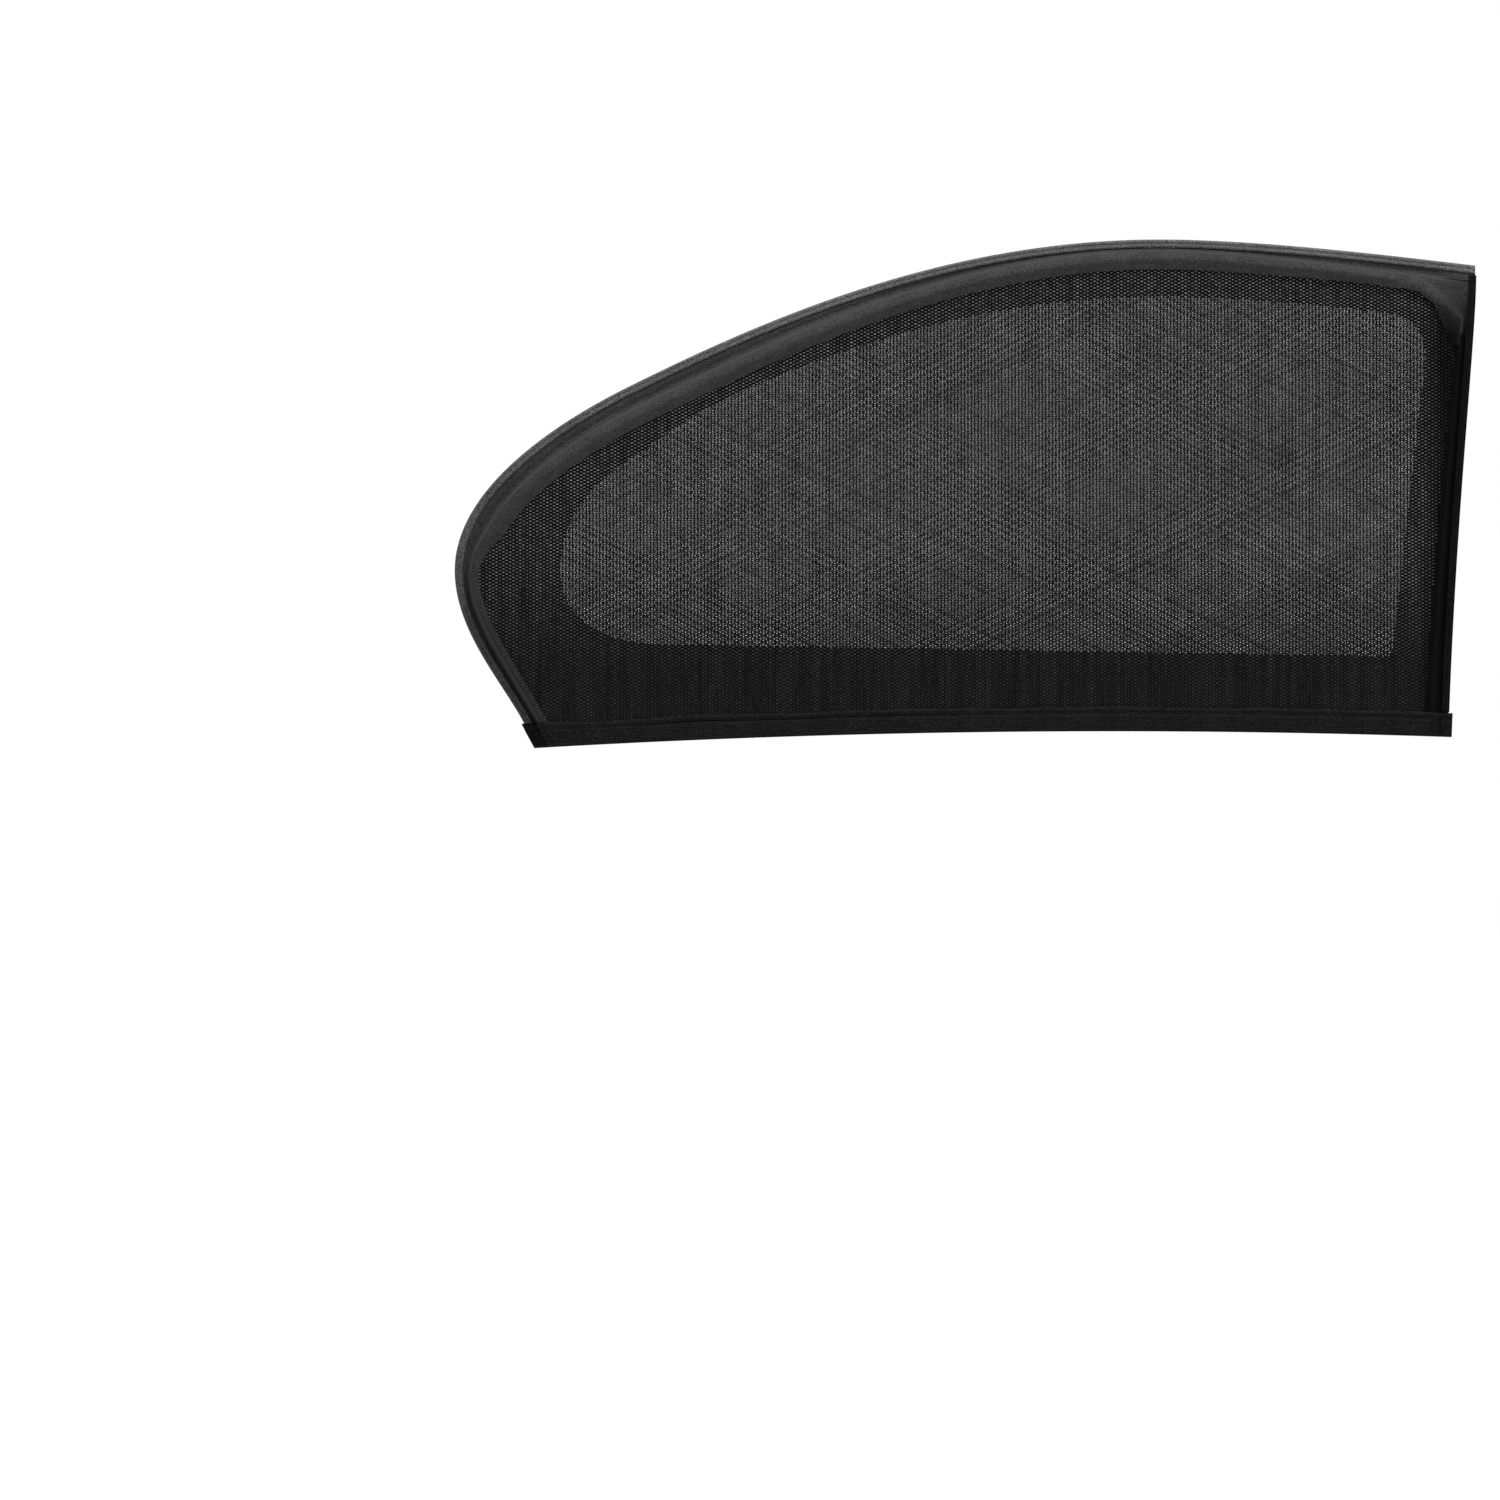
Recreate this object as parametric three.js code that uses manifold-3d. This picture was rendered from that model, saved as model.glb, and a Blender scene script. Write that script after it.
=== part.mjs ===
// A stretch-mesh sleeve for the window frame of a car's rear side door.
// The sleeve is drawn over the frame from above and stays open along its bottom hem.
// Millimetres. X runs towards the front of the car, Z up, and the cabin is on the -Y side.
// The origin is the middle of the mouth, level with the rear end of the hem.
import * as THREE from "three";
import { mergeVertices } from "three/addons/utils/BufferGeometryUtils.js";
import Module from "manifold-3d";

const wasm = await Module();
wasm.setup();

// Outline of the stretched sleeve, seen from the cabin
const rearHemX = -429;
const noseX = -512;
const noseZ = 178;
const shoulderX = -338;
const shoulderZ = 362;
const shoulderSlope = 26.4;
const crownX = 194;
const crownZ = 509.6;
const frontCornerX = 512;
const frontCornerZ = 483.4;
const frontCornerSlope = 6.8;
const frontHemSetback = 27;
const frontHemX = frontCornerX - frontHemSetback;
const frontTopAngle = -88;
const frontFootAngle = -91.7;
const rearHemLean = 28.6;
const rearStraight = 32;

// How far each stretch of the outline runs straight at its two ends, as shares of its span
const rearPulls = [0.28, 0.36];
const nosePulls = [0.32, 0.33];
const shoulderPulls = [0.284, 0.384];
const crownPulls = [0.305, 0.302];
const frontPulls = [0.125, 0.5];
const squareAboveHem = 0.7;
const cornerTurn = 1.5;

// Bottom line, which rises to the front and arches up between the ends
const hemFrontRise = 11;
const hemArch = 10.5;

// Depth of the pocket between the outer wall and the cabin wall, and the lean of the outer wall
const mouthDepth = 60;
const crownDepth = 34;
const outerLean = 1.1;

// Cloth, seams and running clearance
const cloth = 1;
const seamGap = 0.3;
const windowLap = 8;
const netLap = 2.4;
const lipDepth = 4.8;

// Dense border on the cabin side: rear side, roof and front corner
const rearLip = 16;
const shoulderLip = 23;
const crownLip = 12.5;
const cornerLip = 17.5;
const beadWidth = 19;
const beadHeight = 7;
const stepFlange = 9;
const cornerFlange = 7;

// Where the bead starts and is full, in heights of the nose along the outline
const beadTipShare = 1.04;
const beadFullShare = 1.5;

// Step from the lip to the cabin wall, then the bead: places past the lip, and shares of climb and bulge
const stepLead = 3;
const stepLow = 0.3;
const stepHigh = 2;
const stepRun = 3.6;
const lipMiddle = 0.55;
const lowClimb = 0.42;
const highClimb = 0.93;
const highBulge = 0.25;
const topBulge = 0.6;
const beadCrest = 0.35;
const beadFall = 0.72;
const fallBulge = 0.5;

// Front border, with a wide tongue at its top under the roof bead
const tongueWidth = 67;
const tongueHeight = 30;
const frontBorderTop = 22;
const frontBorderFoot = 32;
const frontLip = 9;
const frontLap = 5;
const frontNetLap = 2.25;
const tongueFade = 0.2;
const footFade = 0.6;

// Tape round the raw edges, and the hem with its elastic
const bindingLeg = 8;
const hemHeight = 24;
const hemInnerLeg = 17;
const hemOverhang = 3;
const rawEdgeHeight = 8.5;
const elasticHeight = 5.5;
const elasticThickness = 1.2;
const elasticGap = 0.5;

// Clear window of the outer wall
const windowTopMargin = 57;
const windowRearX = -406;
const windowRearZ = 178;
const windowSillZ = 92;
const windowSillRearX = -300;
const windowSillRearRise = 12;
const windowFootMargin = 57;
const windowFrontMargin = 51;
const windowCornerMargin = 112;
const windowFrontX = frontHemX - windowFootMargin;
const windowFrontTopX = frontCornerX - windowFrontMargin;
const windowCornerX = frontCornerX - windowCornerMargin;
const windowFrontTopZ = 385;
const windowRearDrop = 0.42;
const windowRearTilt = 8;
const windowCornerSlope = 4;
const windowFrontAngle = -96;
const windowRearPulls = [0.45, 0.3];
const windowCornerPulls = [0.5, 0.5];
const windowSillPulls = [0.6, 0.3];

// Net: wales stand up as ridges, and open cells are spread over the window
const walePitch = 12;
const waleHeight = 0.5;
const cellWidth = 6;
const cellHeight = 12;
const cellColumns = 24;
const cellRows = 5;
const cellPitchZ = 56;
const firstCellRow = 0.8;
const cellStagger = 0.5;

// How finely the curves are divided
const roofSteps = 40;
const cornerSteps = 7;
const tongueSteps = 5;
const frontSteps = 12;
const hemFlatSteps = 10;
const windowSteps = 12;
const roofDivisions = 800;
const halvings = 40;
const mitreLimit = 0.7;

const { lerp, smoothstep, degToRad } = THREE.MathUtils;

// Curves of the outline, as points (x, z)
const along = (x, z, angle, length) =>
  new THREE.Vector2(x + length * Math.cos(degToRad(angle)), z + length * Math.sin(degToRad(angle)));
const nose = new THREE.Vector2(noseX, noseZ);
const shoulder = new THREE.Vector2(shoulderX, shoulderZ);
const crown = new THREE.Vector2(crownX, crownZ);
const frontCorner = new THREE.Vector2(frontCornerX, frontCornerZ);
const rearHem = new THREE.Vector2(rearHemX, 0);
const frontHem = new THREE.Vector2(frontHemX, hemFrontRise);

// A smooth curve between two points that leaves and arrives at given angles
function stretch(start, startAngle, end, endAngle, [firstPull, lastPull]) {
  const span = start.distanceTo(end);
  return new THREE.CubicBezierCurve(
    start,
    along(start.x, start.y, startAngle, span * firstPull),
    along(end.x, end.y, endAngle, -span * lastPull),
    end,
  );
}
const roof = new THREE.CurvePath();
const rearFoot = along(rearHemX, 0, 90 + rearHemLean, rearStraight);
roof.add(new THREE.LineCurve(rearHem, rearFoot));
roof.add(stretch(rearFoot, 90 + rearHemLean, nose, 90, rearPulls));
roof.add(stretch(nose, 90, shoulder, shoulderSlope, nosePulls));
roof.add(stretch(shoulder, shoulderSlope, crown, 0, shoulderPulls));
roof.add(stretch(crown, 0, frontCorner, -frontCornerSlope, crownPulls));
roof.arcLengthDivisions = roofDivisions;
const roofLength = roof.getLength();
const frontEdge = stretch(frontCorner, frontTopAngle, frontHem, frontFootAngle, frontPulls);

// Height of the bottom line over a place along the door
function hemLine(x) {
  const s = (x - rearHemX) / (frontHemX - rearHemX);
  return hemFrontRise * s + 4 * hemArch * s * (1 - s);
}

// The outer wall is a plane that leans into the car at its top
const outerY = (z) => mouthDepth / 2 - z * Math.tan(degToRad(outerLean));
const depthAt = (z) => lerp(mouthDepth, crownDepth, z / crownZ);
const place = (x, z, depth) => new THREE.Vector3(x, outerY(z) - depth, z);

// Depth of a cloth's middle: rise 0 is the lip beside the outer wall, rise 1 the cabin wall
const coverMiddle = seamGap + cloth / 2;
const tuckMiddle = -(cloth + seamGap + cloth / 2);
const clothDepth = (z, rise, layer) => lerp(lipDepth, depthAt(z) + layer, rise);

// Even steps from one value to another
const steps = (from, to, count) => Array.from({ length: count + 1 }, (_, i) => lerp(from, to, i / count));

// The station between two others up to which a test holds
function lastWhere(holds, low, high) {
  for (let i = 0; i < halvings; i++) {
    const middle = (low + high) / 2;
    if (holds(middle)) low = middle;
    else high = middle;
  }
  return low;
}

// Stations of the rear edge and the front edge that lie at a height above the bottom line
const overHem = (p) => p.y - hemLine(p.x);
const rearStation = (height) =>
  lastWhere((u) => overHem(roof.getPointAt(u)) < height, 0, noseZ / roofLength);
const frontStation = (height) => lastWhere((v) => overHem(frontEdge.getPoint(v)) > height, 0, 1);

// Station of the front edge that lies at a height
const frontStationAt = (z) => lastWhere((v) => frontEdge.getPoint(v).y > z, 0, 1);

// Station of the roof curve, past the nose, that lies at a place along the door
const stationAt = (x) =>
  lastWhere((u) => roof.getPointAt(u).x < x || u * roofLength < noseZ, 0, 1);

// Direction from the roof outline into the panel: level at the hem, square to the outline above it
function inward(u) {
  const tangent = roof.getTangentAt(u);
  const square = new THREE.Vector2(tangent.y, -tangent.x);
  const level = new THREE.Vector2(1, 0);
  const down = new THREE.Vector2(0, -1);
  const fromHem = smoothstep(u * roofLength, hemHeight, hemHeight + noseZ * squareAboveHem);
  const toCorner = smoothstep(roof.getPointAt(u).x, frontCornerX - cornerTurn * tongueWidth, frontCornerX);
  return level.lerp(square, fromHem).lerp(down, toCorner).normalize();
}

// Place in the outline's plane at a distance inside the roof curve, parallel to the hem near its foot
function roofPoint(u, t) {
  const outline = roof.getPointAt(u);
  const p = outline.clone().addScaledVector(inward(u), t);
  const nearFoot = 1 - smoothstep(u * roofLength, rearStraight, rearStraight + hemHeight);
  p.y += (hemLine(p.x) - hemLine(outline.x)) * nearFoot;
  return p;
}

// How far the bead has grown from its tip above the nose, and how far the corner has replaced it
const beadTip = beadTipShare * noseZ;
const beadFull = beadFullShare * noseZ;
const cornerStart = frontCornerX - tongueWidth;
const beadShare = (u) => smoothstep(u * roofLength, beadTip, beadFull);
const cornerShare = (x) => smoothstep(x, cornerStart - beadWidth, cornerStart);

// Width of the flat lip between the outline and the step up to the cabin wall
function lipWidth(u) {
  const x = roof.getPointAt(u).x;
  const toCrown = smoothstep(x, shoulderX, crownX);
  const toCorner = smoothstep(x, crownX, cornerStart);
  const beaded = lerp(lerp(shoulderLip, crownLip, toCrown), cornerLip, toCorner);
  return lerp(rearLip, beaded, beadShare(u));
}

// Width of the dense border, from the outline to the edge that shows on the net
function roofBorderWidth(u) {
  const corner = cornerShare(roof.getPointAt(u).x);
  const beyondLip = lerp(lerp(stepFlange, beadWidth, beadShare(u)), cornerFlange, corner);
  return lipWidth(u) + beyondLip;
}

// How far the front border has climbed to the cabin wall at a distance from the front edge
function frontRise(t, width) {
  const slope = (t - frontLip) / (width - frontLap - frontLip);
  return Math.min(1, Math.max(0, slope));
}

// Middle line of the roof border's section, as points (distance inwards, depth)
const sectionShares = [0, 0.125, 0.25, 0.33, 0.41, 0.5, 0.58, 0.67, 0.76, 0.85, 0.93, 1];
function roofSection(u) {
  const corner = cornerShare(roof.getPointAt(u).x);
  const bulge = beadHeight * beadShare(u) * (1 - corner);
  const lip = lipWidth(u);
  const width = roofBorderWidth(u);
  const top = frontRise(frontCornerX - roofPoint(u, width).x, tongueWidth);
  const keys = [
    [cloth + seamGap, 0, 0],
    [lip * lipMiddle, 0, 0],
    [lip - stepLead, 0, 0],
    [lip + stepLow, top * lowClimb, 0],
    [lip + stepHigh, top * highClimb, bulge * highBulge],
    [lip + stepRun, top, bulge * topBulge],
    [lerp(lip + stepRun, width, beadCrest), top, bulge],
    [lerp(lip + stepRun, width, beadFall), top, bulge * fallBulge],
    [width, top, 0],
  ];
  const curve = new THREE.SplineCurve(
    keys.map(
      ([t, rise, proud]) => new THREE.Vector2(t, clothDepth(roofPoint(u, t).y, rise, coverMiddle) + proud),
    ),
  );
  return sectionShares.map((share) => curve.getPoint(share));
}

// Width of the front border: a tongue under the roof bead, then a band that widens to its foot
function frontBorder(v) {
  const drop = frontCornerZ - frontEdge.getPoint(v).y - cornerLip - cornerFlange;
  const tongue = 1 - Math.min(1, Math.max(0, drop / tongueHeight));
  return lerp(lerp(frontBorderTop, frontBorderFoot, v), tongueWidth, tongue);
}

// Middle line of the front border's section at a station of the front edge
const frontShares = [0, 0.17, 0.34, 0.5, 0.64, 0.78, 0.9, 1];
function frontSection(v, layer = tuckMiddle) {
  const z = frontEdge.getPoint(v).y;
  const width = frontBorder(v);
  const stops = [cloth + seamGap, ...frontShares.map((share) => lerp(frontLip, width, share))];
  return stops.map((t) => new THREE.Vector2(t, clothDepth(z, frontRise(t, width), layer)));
}

// A line of points (t, depth) moved to its cabin side by a distance
function offsetLine(line, distance) {
  return line.map((point, i) => {
    const before = line[Math.max(0, i - 1)];
    const after = line[Math.min(line.length - 1, i + 1)];
    const run = after.clone().sub(before).normalize();
    const leg = (i ? point.clone().sub(before) : after.clone().sub(point)).normalize();
    const reach = distance / Math.max(mitreLimit, run.dot(leg));
    return new THREE.Vector2(point.x - run.y * reach, point.y + run.x * reach);
  });
}

// The closed section of a cloth of even thickness about its middle line
function clothRing(line) {
  return [...offsetLine(line, cloth / 2), ...offsetLine(line, -cloth / 2).reverse()];
}

// A closed skin through rings of equal length. Each ring runs along one face of a strip and back
// along the other, so an end is covered by a ladder of quads between the two faces.
function loft(rings) {
  const count = rings[0].length;
  const positions = rings.flat().flatMap((p) => [p.x, p.y, p.z]);
  const faces = [];
  for (let i = 0; i < rings.length - 1; i++)
    for (let j = 0; j < count; j++) {
      const a = i * count + j;
      const b = i * count + ((j + 1) % count);
      faces.push(a, b, b + count, a, b + count, a + count);
    }
  const lastRing = (rings.length - 1) * count;
  for (let j = 0; j < count / 2 - 1; j++) {
    const [a, b, c, d] = [j, j + 1, count - 2 - j, count - 1 - j];
    faces.push(a, c, b, a, d, c);
    faces.push(lastRing + a, lastRing + b, lastRing + c, lastRing + a, lastRing + c, lastRing + d);
  }
  const geometry = new THREE.BufferGeometry();
  geometry.setAttribute("position", new THREE.Float32BufferAttribute(positions, 3));
  geometry.setIndex(faces);
  return facingOut(geometry);
}

// Turns every face round if the skin encloses a negative volume
function facingOut(geometry) {
  const p = geometry.getAttribute("position");
  const index = geometry.getIndex().array;
  const [a, b, c] = [new THREE.Vector3(), new THREE.Vector3(), new THREE.Vector3()];
  let volume = 0;
  for (let i = 0; i < index.length; i += 3) {
    a.fromBufferAttribute(p, index[i]);
    b.fromBufferAttribute(p, index[i + 1]);
    c.fromBufferAttribute(p, index[i + 2]);
    volume += a.dot(b.cross(c));
  }
  if (volume < 0)
    for (let i = 0; i < index.length; i += 3) [index[i + 1], index[i + 2]] = [index[i + 2], index[i + 1]];
  return geometry;
}

// Solids for joining and cutting
function toSolid(geometry) {
  const bare = geometry.clone();
  bare.deleteAttribute("normal");
  bare.deleteAttribute("uv");
  const merged = mergeVertices(bare, 1e-4);
  return new wasm.Manifold(
    new wasm.Mesh({
      numProp: 3,
      vertProperties: merged.getAttribute("position").array,
      triVerts: new Uint32Array(merged.getIndex().array),
    }),
  );
}
function toGeometry(solid) {
  const mesh = solid.getMesh();
  const geometry = new THREE.BufferGeometry();
  const step = mesh.numProp;
  const positions = [];
  for (let i = 0; i < mesh.numVert * step; i += step)
    positions.push(...mesh.vertProperties.subarray(i, i + 3));
  geometry.setAttribute("position", new THREE.Float32BufferAttribute(positions, 3));
  geometry.setIndex(Array.from(mesh.triVerts));
  return geometry;
}

// A flat plate whose outline is drawn in x and z, between two depths in front of y = 0
function plate(outline, near, far) {
  const shape = new THREE.Shape(outline);
  const geometry = new THREE.ExtrudeGeometry(shape, { depth: far - near, bevelEnabled: false });
  geometry.rotateX(Math.PI / 2);
  return geometry.translate(0, -near, 0);
}

// Leans a plate that was built against y = 0 onto the outer wall or the cabin wall
function leanOnto(geometry, onCabinWall) {
  const p = geometry.getAttribute("position");
  for (let i = 0; i < p.count; i++) {
    const z = p.getZ(i);
    const wall = onCabinWall ? outerY(z) - depthAt(z) : outerY(z);
    p.setY(i, p.getY(i) + wall);
  }
  return geometry;
}

// Height of the roof border's free edge over a place near the front corner
function flangeEdge(x) {
  const run = Math.max(0, frontCornerX - x);
  const roofAt = frontCornerZ + Math.tan(degToRad(frontCornerSlope)) * run * (1 - run / (4 * tongueWidth));
  return roofAt - cornerLip - cornerFlange - 2 * seamGap;
}

// Stations that the cloths and tapes share, so that their faces stay parallel
const tapeFoot = hemHeight + seamGap + cloth;
const cornerOpens = stationAt(cornerStart - beadWidth);
const roofStops = [
  rearStation(rawEdgeHeight),
  ...steps(rearStation(tapeFoot), cornerOpens, roofSteps),
  ...steps(cornerOpens, stationAt(frontCornerX - frontLip), cornerSteps).slice(1),
  1 - (cloth + seamGap) / roofLength,
];
const tongueTop = frontStationAt(flangeEdge(frontCornerX));
const tongueFoot = frontStationAt(flangeEdge(frontCornerX) - tongueHeight);
const frontStops = [
  frontStationAt(frontCornerZ - bindingLeg - cloth - 2 * seamGap),
  ...steps(tongueTop, tongueFoot, tongueSteps),
  ...steps(tongueFoot, frontStation(tapeFoot), frontSteps).slice(1),
  frontStation(rawEdgeHeight),
];

function roofPlace(u, t, depth) {
  const p = roofPoint(u, t);
  return place(p.x, p.y, depth);
}

// Dense knit from the hem at the rear, round the roof with its bead, to the front corner
function cabinRoofBorder() {
  return loft(roofStops.map((u) => clothRing(roofSection(u)).map((q) => roofPlace(u, q.x, q.y))));
}

// Front border: its top edge runs along the roof border's flange, its foot goes into the hem
function frontPlace(v, t, depth) {
  const edge = frontEdge.getPoint(v);
  const x = edge.x - t;
  const nearTop = 1 - smoothstep(v, tongueTop, tongueTop + tongueFade);
  const nearFoot = smoothstep(v, footFade, frontStops.at(-2));
  const topLift = (flangeEdge(x) - flangeEdge(edge.x)) * nearTop;
  const footLift = (hemLine(x) - hemLine(edge.x)) * nearFoot;
  const z = edge.y + topLift + footLift;
  return place(x, z, depth + (depthAt(z) - depthAt(edge.y)) * frontRise(t, frontBorder(v)));
}
function cabinFrontBorder() {
  const ring = (v) => clothRing(frontSection(v)).map((q) => frontPlace(v, q.x, q.y));
  return loft(frontStops.slice(1).map(ring));
}

// Section of the tape that wraps the raw edges of the outer wall and of a border's lip
function tapeRing(line) {
  const covered = [line[0], new THREE.Vector2(bindingLeg, line[0].y)];
  const under = offsetLine(covered, cloth / 2 + seamGap);
  const over = offsetLine(covered, cloth / 2 + seamGap + cloth);
  const back = -seamGap;
  const outside = [
    new THREE.Vector2(bindingLeg, back - cloth),
    new THREE.Vector2(0, back - cloth),
    new THREE.Vector2(0, over[0].y),
    over[1],
  ];
  const inside = [
    new THREE.Vector2(bindingLeg, back),
    new THREE.Vector2(cloth, back),
    new THREE.Vector2(cloth, under[0].y),
    under[1],
  ];
  return [...outside, ...inside.reverse()];
}
function roofBinding() {
  return loft(roofStops.slice(1).map((u) => tapeRing(roofSection(u)).map((q) => roofPlace(u, q.x, q.y))));
}
function frontBinding() {
  return loft(
    frontStops.slice(0, -1).map((v) => {
      const edge = frontEdge.getPoint(v);
      return tapeRing(frontSection(v)).map((q) => place(edge.x - q.x, edge.y, q.y));
    }),
  );
}

// Path of the cabin hem at a height above the bottom line, round the rear and across to the front
function hemPath(height) {
  const u = rearStation(height);
  const v = frontStation(height);
  const edge = frontEdge.getPoint(v);
  const end = new THREE.Vector2(-hemOverhang, lipDepth);
  const rear = [end, ...roofSection(u)].map((q) => roofPlace(u, q.x, q.y));
  const front = [end, ...frontSection(v, coverMiddle)]
    .reverse()
    .map((q) => place(edge.x - q.x, hemLine(edge.x - q.x) + height, q.y));
  const flat = steps(rear.at(-1).x, front[0].x, hemFlatSteps)
    .slice(1, -1)
    .map((x) => place(x, hemLine(x) + height, depthAt(hemLine(x) + height) + coverMiddle));
  return [...rear, ...flat, ...front];
}

// A path moved sideways in plan, towards the cabin where the distance is positive
function besidePath(path, distance) {
  return path.map((point, i) => {
    const before = path[Math.max(0, i - 1)];
    const after = path[Math.min(path.length - 1, i + 1)];
    const run = new THREE.Vector2(after.x - before.x, after.y - before.y).normalize();
    const from = i ? before : point;
    const to = i ? point : after;
    const leg = new THREE.Vector2(to.x - from.x, to.y - from.y).normalize();
    const wanted = typeof distance === "function" ? distance(point) : distance;
    const push = wanted / Math.max(mitreLimit, run.dot(leg));
    return new THREE.Vector3(point.x + run.y * push, point.y - run.x * push, point.z);
  });
}

// How far inside the cloth the hem's hidden leg runs: close at the ends, clear of the tucked border between
const outerLegClear = cloth / 2 + seamGap;
const tuckedClear = coverMiddle - tuckMiddle + cloth / 2 + seamGap;
function innerLegAt(point) {
  const wall = depthAt(point.z) + coverMiddle - lipDepth;
  const share = Math.max(0, (outerY(point.z) - point.y - lipDepth) / wall);
  return -lerp(outerLegClear, tuckedClear, Math.min(1, share));
}
function cabinHem() {
  const corner = (height, distance) => besidePath(hemPath(height), distance);
  const inside = (extra) => (point) => innerLegAt(point) - extra;
  const outside = [
    corner(hemHeight, outerLegClear + cloth),
    corner(0, outerLegClear + cloth),
    corner(0, inside(cloth)),
    corner(hemInnerLeg, inside(cloth)),
  ];
  const within = [
    corner(hemHeight, outerLegClear),
    corner(cloth, outerLegClear),
    corner(cloth, inside(0)),
    corner(hemInnerLeg, inside(0)),
  ];
  const lines = [...outside, ...within.reverse()];
  return loft(lines[0].map((_, i) => lines.map((line) => line[i])));
}

// Elastic inside the cabin hem, under the raw edges
function cabinElastic() {
  const middle = (point) => (innerLegAt(point) + outerLegClear) / 2;
  const bottom = cloth + elasticGap;
  const top = bottom + elasticHeight;
  const trim = (path) => path.slice(2, -2);
  const line = (height, side) =>
    trim(besidePath(hemPath(height), (point) => middle(point) + (side * elasticThickness) / 2));
  const lines = [line(bottom, 1), line(top, 1), line(top, -1), line(bottom, -1)];
  return loft(lines[0].map((_, i) => lines.map((edge) => edge[i])));
}

// Outline of the whole outer wall, a clearance inside the tapes and above the hem line
function wallOutline(inset, height) {
  const roofPoints = roofStops.map((u) => roofPoint(u, inset));
  const frontPoints = frontStops.map((v) => frontEdge.getPoint(v).add(new THREE.Vector2(-inset, 0)));
  const edgeLow = frontPoints.at(-1);
  const bottom = steps(edgeLow.x, roofPoints[0].x, hemFlatSteps)
    .slice(1, -1)
    .map((x) => new THREE.Vector2(x, hemLine(x) + height));
  return [...roofPoints, ...frontPoints, ...bottom];
}

// Outline of the clear window, grown outwards by a margin
function windowOutline(margin) {
  const topAt = (x) => {
    const fromRear = 1 - smoothstep(x, windowRearX, shoulderX + windowTopMargin * 2);
    const drop = windowTopMargin * (1 + windowRearDrop * fromRear);
    return new THREE.Vector2(x, roof.getPointAt(stationAt(x)).y - drop + margin);
  };
  const shoulderPoint = topAt(shoulderX);
  const cornerTop = topAt(windowCornerX);
  const rear = new THREE.Vector2(windowRearX - margin, windowRearZ);
  const sillRear = new THREE.Vector2(windowSillRearX, windowSillZ + windowSillRearRise - margin);
  const sillFront = new THREE.Vector2(windowFrontX + margin, windowSillZ - margin);
  const frontHigh = new THREE.Vector2(windowFrontTopX + margin, windowFrontTopZ);
  const top = steps(shoulderX, windowCornerX, windowSteps).map(topAt);
  const rearTop = stretch(rear, 90, shoulderPoint, shoulderSlope + windowRearTilt, windowRearPulls);
  const corner = stretch(cornerTop, -windowCornerSlope, frontHigh, windowFrontAngle, windowCornerPulls);
  const sill = stretch(sillRear, 180, rear, 90, windowSillPulls);
  return [
    ...rearTop.getPoints(windowSteps / 2),
    ...top.slice(1, -1),
    ...corner.getPoints(windowSteps / 2),
    sillFront,
    ...sill.getPoints(windowSteps / 2).slice(0, -1),
  ];
}

// Dense border of the outer wall, with the window cut out
function outerBorder() {
  const wall = toSolid(plate(wallOutline(cloth + seamGap, rawEdgeHeight), 0, cloth));
  const cutter = toSolid(plate(windowOutline(0), -cloth, 2 * cloth));
  return leanOnto(toGeometry(wall.subtract(cutter)), false);
}

// A net panel: upright wales on a thin ground, cut to an outline, with open cells
function netPanel(outlines, cells, towardsCabin) {
  const left = noseX - walePitch;
  const count = Math.ceil((frontCornerX - left) / walePitch) + 1;
  const profile = [new THREE.Vector2(left, 0)];
  for (let i = 0; i < count; i++) {
    profile.push(new THREE.Vector2(left + i * walePitch, cloth - waleHeight));
    profile.push(new THREE.Vector2(left + (i + 0.5) * walePitch, cloth));
  }
  profile.push(new THREE.Vector2(left + count * walePitch, cloth - waleHeight));
  profile.push(new THREE.Vector2(left + count * walePitch, 0));
  const slab = new THREE.ExtrudeGeometry(new THREE.Shape(profile), { depth: crownZ, bevelEnabled: false });
  if (towardsCabin) slab.rotateX(Math.PI).translate(0, cloth, crownZ);
  else slab.translate(0, -2 * cloth - seamGap, 0);
  const through = 4 * cloth;
  let solid = toSolid(slab);
  for (const outline of outlines) solid = solid.intersect(toSolid(plate(outline, -through, through)));
  for (const cell of cells) solid = solid.subtract(toSolid(plate(cell, -through, through)));
  return leanOnto(toGeometry(solid), towardsCabin);
}

// Open cells of the net, in staggered rows inside the clear window
function openCells() {
  const cells = [];
  const reach = windowFrontX - windowRearX;
  for (let row = 0; row < cellRows; row++)
    for (let column = 0; column < cellColumns; column++) {
      const stagger = (row % 2 ? 1.5 : 0.5) * cellStagger;
      const x = windowRearX + (reach * (column + stagger)) / cellColumns;
      const z = windowSillZ + cellPitchZ * (row + firstCellRow);
      const roofRoom = windowOutlineTop(x) - z;
      if (roofRoom > cellHeight)
        cells.push([
          new THREE.Vector2(x - cellWidth / 2, z),
          new THREE.Vector2(x, z - cellHeight / 2),
          new THREE.Vector2(x + cellWidth / 2, z),
          new THREE.Vector2(x, z + cellHeight / 2),
        ]);
    }
  return cells;
}

// Highest point of the window at a place along the door
function windowOutlineTop(x) {
  const outline = windowOutline(0);
  let top = windowSillZ;
  for (let i = 0; i < outline.length; i++) {
    const a = outline[i];
    const b = outline[(i + 1) % outline.length];
    const between = (x - a.x) * (x - b.x) <= 0 && a.x !== b.x;
    if (between) top = Math.max(top, lerp(a.y, b.y, (x - a.x) / (b.x - a.x)));
  }
  return top;
}

// Net of the outer wall, lapped behind the window's edge
function outerNet() {
  return netPanel([windowOutline(windowLap)], [], false);
}

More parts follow.
